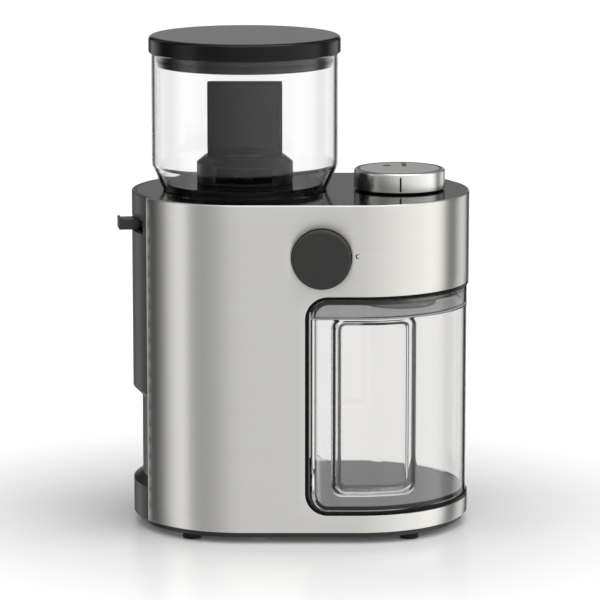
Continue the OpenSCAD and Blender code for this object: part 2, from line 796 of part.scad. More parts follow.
module hopper_base() {
    color("#161617") at_burr() difference() {
        union() {
            translate([0, 0, hopper_z]) cylinder(r = hopper_foot_r - glass_t - fit_gap, h = hopper_floor - hopper_z);
            translate([0, 0, neck_z]) cylinder(r = neck_r, h = hopper_z - neck_z + eps);
        }
        translate([0, 0, neck_z - 1]) cylinder(r = neck_r - wall, h = hopper_z - neck_z + 1);
        for (a = bean_ways) rotate([0, 0, a - sector_a / 2]) translate([0, 0, hopper_z - 1])
            rotate_extrude(angle = sector_a) translate([8, 0]) square([gate_r - 11, 10]);
        translate([0, 0, hopper_z - 1]) cylinder(r = pin_r + run_gap, h = 10);
    }
}

module gate_disc() {
    color("#262728") at_burr(gate_z) {
        difference() {
            cylinder(r = gate_r - 0.3, h = 1.6);
            for (a = bean_ways) rotate([0, 0, a - sector_a / 2]) translate([0, 0, -1])
                rotate_extrude(angle = sector_a) translate([8, 0]) square([gate_r - 11, 4]);
        }
        translate([0, 0, hopper_z - gate_z - 2]) cylinder(r = pin_r, h = gate_z - hopper_z + 2 + eps);
    }
}

cap_h = 13.5;
dome_r = 12.4;
dome_h = 3.4;

module gate_cap() {
    color("#262728") at_burr(gate_z + 1.65) difference() {
        union() {
            rotate_extrude() polygon([
                [0, 0], [gate_r, 0], [gate_r, cap_h - 5], [gate_r - 4.4, cap_h - 1.5], [dome_r, cap_h - 1], [0, cap_h - 1]]);
            translate([0, 0, cap_h - 1.05]) rotate_extrude() polygon(concat([[0, 0]],
                [for (a = [0:15:90]) [dome_r * cos(a), dome_h * sin(a)]]));
        }
        for (a = bean_ways) rotate([0, 0, a - sector_a / 2]) translate([0, 0, -1])
            rotate_extrude(angle = sector_a) translate([8, 0]) square([gate_r, cap_h - 5]);
        translate([-handle_w / 2 - 0.05, -0.05, cap_h - 4]) cube([handle_w + 0.1, handle_t + 0.1, 20]);
    }
}

module gate_handle() {
    color("#343334") at_burr() {
        translate([-handle_w / 2, 0, gate_z + 1.65 + cap_h - 4])
            cube([handle_w, handle_t, body_h + handle_top - gate_z - 1.65 - cap_h + 4]);
        for (side = [-1, 1]) translate([side * (handle_w / 2 - 1) - 1, -2, gate_z + cap_h + 4])
            cube([2, 2 + eps, body_h + handle_top - gate_z - cap_h - 4]);
    }
}

module hopper_lid() {
    r = hopper_r + lid_lip;
    color("#1c1c1d") at_burr(lid_z) rotate_extrude() polygon([
        [0, lid_h - 2.5], [plug_r - 2.5, lid_h - 2.5], [plug_r - 2.5, -plug_h], [plug_r - 0.8, -plug_h],
        [plug_r - 0.8, -plug_h + 2], [plug_r - 1.6, -plug_h + 2], [plug_r - 1.6, -plug_h + 4],
        [plug_r - 0.8, -plug_h + 4], [plug_r - 0.8, 0], [r, 0], [r, lid_h - 1.6], [r - 0.5, lid_h - 0.5],
        [r - 1.6, lid_h], [0, lid_h]]);
}

module lid_seal() {
    color("#101010") at_burr(lid_z - plug_h + 2.05) rotate_extrude() polygon([
        [plug_r - 1.55, 0], [plug_r - 0.2, 0.4], [plug_r, 0.95], [plug_r - 0.2, 1.5], [plug_r - 1.55, 1.9]]);
}

// Plan of the container, rounded like the body at the right, flat at the left
module jar_plan(inset) {
    intersection() {
        outline(end_r - jar_r + inset);
        translate([jar_left + inset, -big / 2]) square(big);
    }
}

// Solid of the container's outer or inner form between two heights
module jar_form(inset, z0, z1, r) {
    intersection() {
        translate([0, 0, z0]) linear_extrude(z1 - z0) jar_plan(inset);
        window_cut(jar_left + inset, jar_z + inset, jar_top - jar_z - 2 * inset, r);
    }
}

module grounds_container() {
    color([0.88, 0.89, 0.9, 0.3]) difference() {
        jar_form(0, jar_z, jar_rim - seal_t, jar_corner);
        difference() {
            jar_form(jar_t, jar_z, jar_rim + 5, jar_corner - jar_t);
            translate([grip_x - grip_w / 2 - jar_t, -big, grip_z - jar_t])
                cube([grip_w + 2 * jar_t, big - jar_r + grip_d + jar_t, big]);
        }
        translate([grip_x - grip_w / 2, -jar_r + grip_d, grip_z]) rotate([90, 0, 0])
            linear_extrude(20) rounded([grip_w, jar_rim - seal_t - jar_t - grip_z], 4.4);
    }
}

module container_seal() {
    color("#8b8d8f") intersection() {
        translate([0, 0, jar_rim - seal_t + eps]) linear_extrude(seal_t - 2 * eps) difference() {
            jar_plan(0.1);
            jar_plan(jar_t - 0.2);
        }
        jar_form(0, jar_z, jar_top, jar_corner);
    }
}

module container_lid() {
    color([0.6, 0.61, 0.62, 0.5]) difference() {
        union() {
            difference() {
                jar_form(0, jar_rim, jar_top, jar_corner);
                jar_form(jar_t, jar_rim - 5, jar_top, jar_corner - jar_t);
            }
            translate([dial_x, 0, jar_rim - 2]) cylinder(r = inlet_r, h = jar_top - jar_rim + 2 - eps);
        }
        translate([dial_x, 0, jar_rim - 3]) cylinder(r = inlet_r - 2.2, h = big);
    }
}

plunge_gap = 0.4;
stem_r = 4;
guide_y = -end_r + 12;

module start_button() {
    color("#3d3c3b") translate([burr_x + button_x, 0, button_z]) rotate([90, 0, 0]) {
        translate([0, 0, end_r - 4]) difference() {
            cylinder(r = button_r, h = button_out + 4 - 1.4);
            translate([0, 0, -1]) tube(button_r - 2, stem_r + 1.5, 4.5);
        }
        translate([0, 0, end_r + button_out - 1.4 - eps]) rotate_extrude() polygon([
            [0, 0], [button_r, 0], [button_r - 0.4, 0.9], [button_r - 1.4, 1.4], [0, 1.4]]);
        translate([0, 0, -guide_y - wall - 1]) cylinder(r = stem_r, h = end_r + guide_y + wall + 1 - 3.9);
    }
}

module button_guide() {
    color("#2d2e2f") translate([burr_x + button_x, 0, button_z]) rotate([90, 0, 0]) {
        translate([0, 0, -guide_y - wall]) tube(guide_r, stem_r + 0.1, wall);
        translate([0, 0, -guide_y - eps]) tube(guide_r, button_r + 0.6, end_r + guide_y - skin - 1.2);
    }
}

spring_r = stem_r + 2.6;

module button_spring() {
    color("#b9bbbe") translate([burr_x + button_x, 0, button_z]) rotate([90, 0, 0])
        translate([0, 0, -guide_y + 0.05]) tube(spring_r + 0.6, spring_r - 0.6, end_r + guide_y - 0.6);
}

module start_switch() {
    color("#1f3f66") translate([burr_x + button_x, 0, button_z]) {
        translate([-6, guide_y + wall + 1 + button_travel + plunge_gap, -9]) cube([12, 14, 18]);
        for (z = [-5, 5]) translate([-1, guide_y + wall + 15 + button_travel + plunge_gap - eps, z - 2.5])
            cube([0.8, 5, 5]);
    }
}

dial_shaft_r = 3;
hub_r = dial_r - 2.4;
hub_z = body_h + 0.3;

module dial_ring() {
    color("#cfcfcb") at_dial(hub_z + 0.6) difference() {
        rotate_extrude() polygon([
            [hub_r + 0.05, 0], [dial_r, 0], [dial_r, dial_h - 1.8], [dial_r - 0.5, dial_h - 0.9],
            [dial_r - 1.3, dial_h - 0.6], [hub_r + 0.5, dial_h - 0.6], [hub_r + 0.05, dial_h - 1.2]]);
        translate([-0.5, -dial_r - 1, 1]) cube([1, 1.7, dial_h - 2.6]);
    }
}

module dial_cap() {
    color("#dcdcd9") at_dial(hub_z + dial_h - 2.4) difference() {
        cylinder(r = hub_r - 0.5, h = 2.4);
        translate([1.5, hub_r - 14, 1.9]) cube([2.6, 11, 1]);
    }
}

module dial_hub() {
    color("#141415") at_dial() {
        translate([0, 0, hub_z]) cylinder(r = dial_r - 0.8, h = 0.59);
        translate([0, 0, hub_z + 0.5]) cylinder(r = hub_r, h = dial_h - 2.95);
        translate([0, 0, timer_z + timer_h - 6]) cylinder(r = dial_shaft_r, h = hub_z - timer_z - timer_h + 6 + eps);
    }
}

// Portion timer under the panel
timer_h = 14;
timer_z = body_h - panel_t - timer_h;
timer_w = 34;

module timer_unit() {
    color("#1d5b3a") at_dial(timer_z) difference() {
        union() {
            translate([-timer_w / 2, -timer_w / 2, 2]) cube([timer_w, timer_w, timer_h - 2]);
            translate([-timer_w / 2 - 5, -timer_w / 2 - 5, 0]) cube([timer_w + 10, timer_w + 10, 2 + eps]);
        }
        translate([0, 0, timer_h - 7]) cylinder(r = dial_shaft_r + run_gap, h = 8);
    }
}

base_plate();
rubber_feet();
base_screws();
steel_shell();
rear_housing();
top_panel();
chassis();
chassis_posts();
window_trim();
cord_gland();
motor_can();
motor_endcap();
motor_stator();
motor_bearings();
motor_mount();
motor_shaft();
armature();
commutator();
cooling_fan();
motor_pinion();
gearbox_housing();
gearbox_cover();
gearbox_posts();
idler_pin();
idler_gear();
output_gear();
burr_shaft();
shaft_bearings();
shaft_seal();
burr_housing();
impeller();
lower_burr();
burr_nut();
upper_burr();
burr_carrier();
burr_screws();
adjusting_ring();
lever_knob();
burr_cover();
cover_screws();
grounds_chute();
outlet_spout();
bean_hopper();
hopper_base();
gate_disc();
gate_cap();
gate_handle();
hopper_lid();
lid_seal();
grounds_container();
container_seal();
container_lid();
start_button();
button_guide();
button_spring();
start_switch();
dial_ring();
dial_cap();
dial_hub();
timer_unit();
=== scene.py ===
"""Burr coffee grinder: a brushed steel shell over black mouldings, with a clear bean hopper and a clear
grounds container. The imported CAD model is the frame: every place and overall size comes from its boxes."""

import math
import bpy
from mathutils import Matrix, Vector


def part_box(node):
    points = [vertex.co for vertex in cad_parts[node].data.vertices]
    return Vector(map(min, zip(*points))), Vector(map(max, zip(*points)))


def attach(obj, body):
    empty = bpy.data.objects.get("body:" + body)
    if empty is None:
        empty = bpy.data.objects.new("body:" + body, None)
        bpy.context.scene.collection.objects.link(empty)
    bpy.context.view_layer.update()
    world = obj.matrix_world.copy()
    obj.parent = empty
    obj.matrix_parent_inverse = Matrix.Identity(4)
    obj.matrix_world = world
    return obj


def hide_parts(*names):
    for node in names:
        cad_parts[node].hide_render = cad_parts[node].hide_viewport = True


bl_info = {
    "name": "Burr coffee grinder",
    "version": (1, 0, 0),
    "blender": (4, 5, 0),
    "location": "3D View > Sidebar > Grinder",
    "description": "Builds the finished surfaces of a burr coffee grinder round its CAD frame",
    "category": "Add Mesh",
}

import bmesh
import bpy
import numpy as np
from mathutils import Vector
from mathutils.geometry import delaunay_2d_cdt

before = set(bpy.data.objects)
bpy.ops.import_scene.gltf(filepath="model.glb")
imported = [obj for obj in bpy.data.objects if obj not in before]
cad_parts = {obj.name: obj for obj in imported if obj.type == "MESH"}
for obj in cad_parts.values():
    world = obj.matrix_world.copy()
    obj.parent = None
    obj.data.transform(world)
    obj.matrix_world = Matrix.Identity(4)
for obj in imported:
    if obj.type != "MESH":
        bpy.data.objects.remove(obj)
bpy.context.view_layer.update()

MM = 0.001
FULL = 2 * math.pi


# ---------------------------------------------------------------- places, from the CAD boxes


def middle(node):
    """Middle of a node's box."""
    low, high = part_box(node)
    return (low + high) / 2


SHELL_LOW, SHELL_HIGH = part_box("steel_shell")
REAR_LOW, REAR_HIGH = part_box("rear_housing")
TRIM_LOW, TRIM_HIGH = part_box("window_trim")
BODY_X = (REAR_LOW.x + SHELL_HIGH.x) / 2
BODY_Y = (REAR_HIGH.y + SHELL_LOW.y) / 2
END_R = BODY_Y - SHELL_LOW.y
END_X = (SHELL_HIGH.x - REAR_LOW.x) / 2 - END_R
ROUND = 2 * END_X + 2 * math.pi * END_R + 2 * END_X
SEAM_GAP = 0.25 * MM
SEAM_Y = SHELL_HIGH.y - BODY_Y + SEAM_GAP
SEAM_LEFT = -(END_X + END_R * math.acos(SEAM_Y / END_R))
SEAM_RIGHT = END_X + END_R * (math.pi - math.acos(SEAM_Y / END_R))
BURR = middle("bean_hopper")
DIAL = middle("dial_ring")
BUTTON = middle("start_button")


# ---------------------------------------------------------------- sizes and colours a user may change


def linear(code):
    """Linear colour of an sRGB hex code."""
    v = np.array([int(code[i : i + 2], 16) for i in (0, 2, 4)]) / 255
    return tuple(float(x) for x in np.where(v <= 0.04045, v / 12.92, ((v + 0.055) / 1.055) ** 2.4))


def length(label, words, default, low, high):
    """A length property, from a default and limits in millimetres."""
    return bpy.props.FloatProperty(name=label, description=words, default=default * MM, min=low * MM, max=high * MM,
                                   unit="LENGTH", precision=5)


def colour(label, words, code):
    """A colour property, from an sRGB hex code."""
    return bpy.props.FloatVectorProperty(name=label, description=words, default=linear(code), size=3, min=0, max=1,
                                         subtype="COLOR")


class GrinderSizes(bpy.types.PropertyGroup):
    """Edge roundings and pattern sizes of the finished pieces."""

    sheet: length("Steel sheet", "Thickness of the steel sheet", 1.0, 0.5, 2)
    sheet_rim: length("Rolled rim", "Rounding of the sheet's upper edge", 0.95, 0.1, 1)
    sheet_edge: length("Sheet edge", "Rounding of the sheet's other edges", 0.3, 0.05, 0.5)
    window_corner: length("Window corner", "Corner radius of the window", 12, 5, 20)
    moulded_edge: length("Moulded edge", "Rounding of the edges of plastic mouldings", 0.5, 0.1, 1)
    housing_rim: length("Housing rim", "Rounding of the rear housing's upper edge", 2, 0.3, 2.4)
    lid_edge: length("Lid edge", "Rounding of the lid's upper edge", 2.3, 0.3, 3)
    clear_edge: length("Clear edge", "Rounding of the edges of clear mouldings", 0.7, 0.1, 1)
    brush_line: length("Brush line", "Width of one brush line on the steel", 0.35, 0.1, 1)
    grain: length("Moulded grain", "Grain of the satin mouldings", 0.4, 0.1, 2)


class GrinderColours(bpy.types.PropertyGroup):
    """Colours of the pieces that show."""

    steel: colour("Steel", "Brushed stainless steel", "cdccc8")
    dial_steel: colour("Dial", "Turned and plated dial", "d9d9d6")
    gloss_black: colour("Gloss black", "Polished black mouldings", "060607")
    satin_black: colour("Satin black", "Eroded black mouldings", "18181a")
    button: colour("Button", "Soft satin start button", "2c2b2a")
    handle: colour("Gate handle", "Gate handle and cap", "111010")
    chassis: colour("Chassis", "Grey floor under the container", "5c5c5d")
    floor: colour("Floor", "Plain floor of the studio", "f4f4f4")


# ---------------------------------------------------------------- surfaces


def rounded(corners, steps=6):
    """Closed outline whose corners (x, y, r) are circular arcs touching both sides. Each arc runs between the two
    tangent points, r / tan(half the corner's angle) from the corner, and one more point stands on each side of it,
    a little further along the flat, which keeps the flat's shading even."""
    c = np.array(corners, float)
    p, r = c[:, :2], c[:, 2:]
    a, b = np.roll(p, 1, 0) - p, np.roll(p, -1, 0) - p
    a /= np.linalg.norm(a, axis=1, keepdims=True)
    b /= np.linalg.norm(b, axis=1, keepdims=True)
    half = np.arccos(np.clip((a * b).sum(1, keepdims=True), -1, 1)) / 2
    start, end = p + a * r / np.tan(half), p + b * r / np.tan(half)
    bisector = a + b
    bisector /= np.maximum(np.linalg.norm(bisector, axis=1, keepdims=True), 1e-12)
    centre = p + bisector * r / np.sin(half)
    turn = np.maximum(math.pi - 2 * half, 1e-6)
    s = np.linspace(0, 1, steps + 1)[None, :, None]
    u, v = (start - centre)[:, None], (end - centre)[:, None]
    t = turn[:, None]
    arc = centre[:, None] + (np.sin((1 - s) * t) * u + np.sin(s * t) * v) / np.sin(t)
    further = 0.3
    before, after = (start + a * r * further)[:, None], (end + b * r * further)[:, None]
    return np.concatenate([before, arc, after], 1).reshape(-1, 2)


def divided(loop, step):
    """The closed loop with each side split evenly into pieces no longer than step. Sides of no length go."""
    side = np.roll(loop, -1, 0) - loop
    size = np.linalg.norm(side, axis=1)
    count = np.where(size > 1e-7, np.ceil(size / step), 0).astype(int)
    which = np.repeat(np.arange(len(loop)), count)
    first = np.cumsum(count) - count
    share = (np.arange(len(which)) - first[which]) / count[which]
    return loop[which] + side[which] * share[:, None]


def circle(x, y, r, count, turn=1):
    """Points on a circle, anticlockwise with turn 1 and clockwise with turn -1."""
    a = turn * np.arange(count) * FULL / count
    return np.stack([x + r * np.cos(a), y + r * np.sin(a)], 1)


def moved_in(loop, by):
    """The closed loop moved to its left by the distance at each point, along the mitre of its two sides."""
    side = np.roll(loop, -1, 0) - loop
    side /= np.linalg.norm(side, axis=1, keepdims=True)
    left = np.stack([-side[:, 1], side[:, 0]], 1)
    before = np.roll(left, 1, 0)
    mitre = (left + before) / (1 + (left * before).sum(1, keepdims=True))
    return loop + mitre * np.asarray(by, float).reshape(-1, 1)


def inside(points, loops):
    """True where a point is inside the loops: a line from it to the right crosses an odd number of their sides."""
    a = np.concatenate(loops)
    b = np.concatenate([np.roll(k, -1, 0) for k in loops])
    x, y = points[:, :1], points[:, 1:]
    spans = (a[:, 1] > y) != (b[:, 1] > y)
    rise = np.where(b[:, 1] == a[:, 1], 1, b[:, 1] - a[:, 1])
    at = a[:, 0] + (y - a[:, 1]) / rise * (b[:, 0] - a[:, 0])
    return (spans & (x < at)).sum(1) % 2 == 1


def joined(parts):
    """Several (points, faces) as one."""
    points, faces, at = [], [], 0
    for p, f in parts:
        points.append(p.reshape(-1, 3))
        faces += [[k + at for k in face] for face in (f if isinstance(f, list) else f.tolist())]
        at += len(points[-1])
    return np.concatenate(points), faces


def stacked(x, y, z):
    """Points from three coordinates, each a number or an array."""
    return np.stack(np.broadcast_arrays(x, y, z), -1)


def net(points, wrap_u=True, wrap_v=True, turned=False):
    """Four-sided faces over a grid of points [u, v], closed round u and v where wrapped."""
    nu, nv = points.shape[:2]
    u, v = np.arange(nu if wrap_u else nu - 1), np.arange(nv if wrap_v else nv - 1)
    u, v = np.meshgrid(u, v, indexing="ij")
    u2, v2 = (u + 1) % nu, (v + 1) % nv
    faces = np.stack([u * nv + v, u2 * nv + v, u2 * nv + v2, u * nv + v2], -1).reshape(-1, 4)
    return points.reshape(-1, 3), faces[:, ::-1] if turned else faces


def lathe(profile, x, y, count):
    """Profile (r, z) turned about the upright line through (x, y): the point at angle a is
    (x + r cos a, y + r sin a, z). An anticlockwise profile gives faces that point outwards."""
    a = np.arange(count) * FULL / count
    r, z = profile[:, 0], profile[:, 1]
    return net(stacked(x + np.outer(np.cos(a), r), y + np.outer(np.sin(a), r), z[None, :]))


def lathe_forward(profile, x, z, count):
    """Profile (r, out) turned about the line through (x, z) that runs to the front: the point at angle a is
    (x + r cos a, -out, z + r sin a), with out counted from the body's middle plane."""
    a = np.arange(count) * FULL / count
    r, out = profile[:, 0], profile[:, 1]
    return net(stacked(x + np.outer(np.cos(a), r), BODY_Y - out[None, :], z + np.outer(np.sin(a), r)))


def wall_point(s, z, depth):
    """Point of the body's wall: s runs round the oval from the middle of the front, to the right, and depth goes in.
    Straight for END_X, round the end by angle (|s| - END_X) / END_R, then straight along the back."""
    s = (np.asarray(s, float) + ROUND / 2) % ROUND - ROUND / 2
    away = np.abs(s)
    a = np.clip((away - END_X) / END_R, 0, math.pi)
    back = np.maximum(away - END_X - math.pi * END_R, 0)
    r = END_R - np.asarray(depth, float)
    x = np.sign(s) * (np.minimum(away, END_X) + r * np.sin(a) - back)
    return stacked(BODY_X + x, BODY_Y - r * np.cos(a), z)


def plate(loops, edges, thickness, place, spacing):
    """A sheet of even thickness bounded by loops that keep it on their left. At each point of a loop the front edge is
    a quarter circle of that radius: at angle f it stands r (1 - sin f) in from the loop and r (1 - cos f) deep.
    place gives the point in space for (u, v, depth), and the face is filled with triangles on a grid of spacing."""
    inner = [moved_in(k, e) for k, e in zip(loops, edges)]
    lowest, highest = np.min(np.concatenate(loops), 0), np.max(np.concatenate(loops), 0)
    u, v = np.meshgrid(*[np.arange(lowest[i], highest[i], spacing[i]) for i in (0, 1)], indexing="ij")
    grid = np.stack([u.ravel(), v.ravel()], 1)
    rims = np.concatenate(inner)
    nearest = np.linalg.norm((grid[:, None] - rims[None]) / spacing, axis=2).min(1)
    clear_of_rim = 0.55
    grid = grid[inside(grid, inner) & (nearest > clear_of_rim)]
    sides = [[sum(map(len, inner[:k])) + i for i in (j, (j + 1) % len(inner[k]))]
             for k in range(len(inner)) for j in range(len(inner[k]))]
    flat = np.concatenate([rims, grid])
    made = delaunay_2d_cdt([Vector(p) for p in flat.tolist()], sides, [], 0, 1e-9)
    flat, faces = np.array([tuple(p) for p in made[0]]), np.array(made[2])
    faces = faces[inside(flat[faces].mean(1), inner)]
    parts = [(place(flat[:, 0], flat[:, 1], 0.0), faces), (place(flat[:, 0], flat[:, 1], thickness), faces[:, ::-1])]
    turn = np.linspace(0, math.pi / 2, 5)
    for loop, edge in zip(loops, edges):
        edge = np.broadcast_to(np.asarray(edge, float), len(loop))
        rows = [(edge * (1 - math.sin(f)), edge * (1 - math.cos(f))) for f in turn]
        rows += [(0 * edge, 0 * edge + thickness), (edge, 0 * edge + thickness)]
        ring = np.stack([place(*moved_in(loop, inset).T, depth) for inset, depth in rows], 1)
        parts.append(net(ring, True, False, True))
    return joined(parts)


def piece(name, body, surface, material, nodes=(), sharp=35, across=None):
    """A mesh object from (points, faces), welded, shaded smooth with edges over sharp degrees kept, riding on body and
    standing for nodes, in the finish called material. across is a function of the points that gives its UV map."""
    points, faces = surface
    mesh = bpy.data.meshes.new(name)
    mesh.from_pydata(points.tolist(), [], faces if isinstance(faces, list) else faces.tolist())
    b = bmesh.new()
    b.from_mesh(mesh)
    bmesh.ops.remove_doubles(b, verts=b.verts, dist=0.002 * MM)
    b.to_mesh(mesh)
    b.free()
    finish_piece(name, body, mesh, material, nodes, sharp, across)


def finish_piece(name, body, mesh, material, nodes, sharp, across=None):
    """Shades the mesh, gives it its UV map, makes its object, ties it to the frame and gives it its finish."""
    mesh.shade_smooth()
    mesh.set_sharp_from_angle(angle=math.radians(sharp))
    if across:
        co = np.zeros(len(mesh.vertices) * 3)
        mesh.vertices.foreach_get("co", co)
        corner = np.zeros(len(mesh.loops), int)
        mesh.loops.foreach_get("vertex_index", corner)
        uv = across(co.reshape(-1, 3))[corner]
        mesh.uv_layers.new(name="surface").data.foreach_set("uv", uv.ravel())
    made = bpy.data.objects.new(name, mesh)
    bpy.context.scene.collection.objects.link(made)
    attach(made, body)
    if nodes:
        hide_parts(*nodes)
    wear(made, finish(material))
    return made


def softened(name, node, body, material, width, rim=None):
    """A copy of a CAD node, welded, its flats made whole, with a live bevel on every edge over 30 degrees. rim is a
    test of an edge's middle and a width: those edges get that width."""
    b = bmesh.new()
    b.from_mesh(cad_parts[node].data)
    bmesh.ops.remove_doubles(b, verts=b.verts, dist=0.001 * MM)
    bmesh.ops.dissolve_limit(b, angle_limit=math.radians(0.5), verts=b.verts, edges=b.edges)
    weight = b.edges.layers.float.new("bevel_weight_edge")
    widest = max(width, rim[1]) if rim else width
    bent = math.radians(30)
    for e in b.edges:
        if len(e.link_faces) == 2 and e.calc_face_angle(0) > bent:
            centre = (e.verts[0].co + e.verts[1].co) / 2
            e[weight] = (rim[1] if rim and rim[0](centre) else width) / widest
    mesh = bpy.data.meshes.new(name)
    b.to_mesh(mesh)
    b.free()
    for layer in [a for a in mesh.attributes if a.name == "custom_normal"]:
        mesh.attributes.remove(layer)
    bevel = finish_piece(name, body, mesh, material, (node,), 40).modifiers.new("edges", "BEVEL")
    bevel.width = widest
    bevel.segments = 3
    bevel.limit_method = "WEIGHT"
    bevel.harden_normals = True
    bevel.use_clamp_overlap = True


# ---------------------------------------------------------------- materials


def add_node(tree, kind, inputs=None, **settings):
    """Adds a node: settings are its own, inputs go to its sockets by name or number, as values or as links."""
    made = tree.nodes.new(kind)
    for key, value in settings.items():
        setattr(made, key, value)
    for key, value in (inputs or {}).items():
        if isinstance(value, bpy.types.NodeSocket):
            tree.links.new(value, made.inputs[key])
        else:
            made.inputs[key].default_value = value
    return made


# depth of the marks that grinding, turning and rolling leave
MARK_DEPTH = 0.004 * MM


def begin(name, uv=None):
    """An empty node material, its tree, and the coordinates of its patterns: the object's own, or a UV map's."""
    made = bpy.data.materials.new(name)
    made.use_nodes = True
    tree = made.node_tree
    tree.nodes.clear()
    if uv:
        return made, tree, add_node(tree, "ShaderNodeUVMap", uv_map=uv).outputs[0]
    return made, tree, add_node(tree, "ShaderNodeTexCoord").outputs["Object"]


def rgba(value):
    """A colour with alpha, from a linear colour or a hex code."""
    return (*(linear(value) if isinstance(value, str) else value), 1.0)


def shaded(value, by):
    """A linear colour made darker or lighter."""
    return tuple(min(1.0, c * by) for c in (linear(value) if isinstance(value, str) else value))


def patterned(tree, tone, rough, relief, shader):
    """A shader whose tone, roughness and relief follow patterns. tone is (pattern, its colour at 0 and at 1), rough is
    one roughness or (pattern, its roughness at 0 and at 1), relief is (pattern, height, strength), and shader holds
    what else goes to the shader's sockets."""
    mixed = add_node(tree, "ShaderNodeMix", {0: tone[0], 6: rgba(tone[1]), 7: rgba(tone[2])}, data_type="RGBA")
    if isinstance(rough, tuple):
        rough = add_node(tree, "ShaderNodeMapRange", {"Value": rough[0], 3: rough[1], 4: rough[2]}).outputs[0]
    bump = add_node(tree, "ShaderNodeBump", {"Height": relief[0], "Distance": relief[1], "Strength": relief[2]})
    return add_node(tree, "ShaderNodeBsdfPrincipled", {
        "Base Color": mixed.outputs[2], "Roughness": rough, "Normal": bump.outputs[0], **shader})


def end(made, tree, shader):
    """The material, with a shader sent to its output."""
    add_node(tree, "ShaderNodeOutputMaterial", {"Surface": shader.outputs[0]})
    return made


def moulded(name, base, roughness, grain, height, specular=0.5, vary=0.12):
    """A moulded or painted surface: fine grain in the bump and the roughness, and a faint slow change of colour."""
    made, tree, place = begin(name)
    fine = add_node(tree, "ShaderNodeTexNoise", {"Vector": place, "Scale": 1 / grain, "Detail": 3.0}).outputs["Fac"]
    slow = add_node(tree, "ShaderNodeTexNoise", {"Vector": place, "Scale": 35.0, "Detail": 2.0}).outputs["Fac"]
    tone = slow, shaded(base, 1 - vary), shaded(base, 1 + vary)
    rough = fine, roughness * 0.85, roughness * 1.15
    return end(made, tree, patterned(tree, tone, rough, (fine, height, 0.6), {"Specular IOR Level": specular}))


def machined(name, base, roughness, line, stretch=(1, 1, 12)):
    """A metal with tool or rolling marks: noise squeezed along one direction gives the lines, in tone, gloss, bump."""
    made, tree, place = begin(name)
    squeezed = add_node(tree, "ShaderNodeMapping", {"Vector": place, "Scale": stretch}).outputs[0]
    lines = add_node(tree, "ShaderNodeTexNoise", {"Vector": squeezed, "Scale": 0.1 / line, "Detail": 3.0}).outputs[0]
    tone, rough = (lines, shaded(base, 0.88), base), (lines, roughness * 0.8, roughness * 1.2)
    return end(made, tree, patterned(tree, tone, rough, (lines, MARK_DEPTH, 0.5), {"Metallic": 1.0}))


def brushed(name, base, line):
    """Stainless sheet ground with a belt along its length. The UV map is in metres, U up and V round the body, so noise
    with a small scale on V gives long level lines. U is also the direction in which the highlights stretch."""
    made, tree, place = begin(name, "surface")
    squeezed = add_node(tree, "ShaderNodeMapping", {"Vector": place, "Scale": (1 / line, 18.0, 1)}).outputs[0]
    lines = add_node(tree, "ShaderNodeTexNoise", {"Vector": squeezed, "Scale": 1.0, "Detail": 2.0}).outputs["Fac"]
    broad = add_node(tree, "ShaderNodeMapping", {"Vector": place, "Scale": (0.12 / line, 4.0, 1)}).outputs[0]
    bands = add_node(tree, "ShaderNodeTexNoise", {"Vector": broad, "Scale": 1.0, "Detail": 1.0}).outputs["Fac"]
    both = add_node(tree, "ShaderNodeMix", {0: 0.25, 2: lines, 3: bands}).outputs[0]
    along = add_node(tree, "ShaderNodeTangent", direction_type="UV_MAP", uv_map="surface").outputs[0]
    return end(made, tree, patterned(
        tree, (both, shaded(base, 0.91), shaded(base, 1.07)), (both, 0.27, 0.33), (lines, MARK_DEPTH, 0.5),
        {"Metallic": 1.0, "Anisotropic": 0.95, "Tangent": along}))


def turned(name, base, axis, line, roughness):
    """A face turned on a lathe about the upright line through axis: fine rings, from the distance to that line."""
    made, tree, place = begin(name)
    centred = add_node(tree, "ShaderNodeMapping", {"Vector": place, "Location": (-axis.x, -axis.y, 0)}).outputs[0]
    split = add_node(tree, "ShaderNodeSeparateXYZ", {0: centred}).outputs
    level = add_node(tree, "ShaderNodeCombineXYZ", {0: split[0], 1: split[1]}).outputs[0]
    away = add_node(tree, "ShaderNodeVectorMath", {0: level}, operation="LENGTH").outputs["Value"]
    both = add_node(tree, "ShaderNodeCombineXYZ", {0: away, 1: split[2]}).outputs[0]
    rings = add_node(tree, "ShaderNodeTexNoise", {"Vector": both, "Scale": 1 / line, "Detail": 2.0}).outputs["Fac"]
    tone, rough = (rings, shaded(base, 0.9), base), (rings, roughness * 0.85, roughness * 1.15)
    return end(made, tree, patterned(tree, tone, rough, (rings, MARK_DEPTH, 0.4), {"Metallic": 1.0}))


def clear(name, tint, ior, roughness):
    """A clear moulding: light bends in it, faint flow lines ripple its faces, and lamps' light goes through to what is
    behind it instead of throwing a black shadow."""
    made, tree, place = begin(name)
    flow = add_node(tree, "ShaderNodeTexNoise", {"Vector": place, "Scale": 25.0, "Detail": 1.0}).outputs["Fac"]
    shader = patterned(tree, (flow, tint, shaded(tint, 1.02)), roughness, (flow, 0.02 * MM, 0.3),
                       {"IOR": ior, "Transmission Weight": 1.0, "Specular IOR Level": 0.15})
    open_way = add_node(tree, "ShaderNodeBsdfTransparent", {"Color": (0.93, 0.93, 0.93, 1)})
    path = add_node(tree, "ShaderNodeLightPath")
    return end(made, tree, add_node(tree, "ShaderNodeMixShader", {
        0: path.outputs["Is Shadow Ray"], 1: shader.outputs[0], 2: open_way.outputs[0]}))


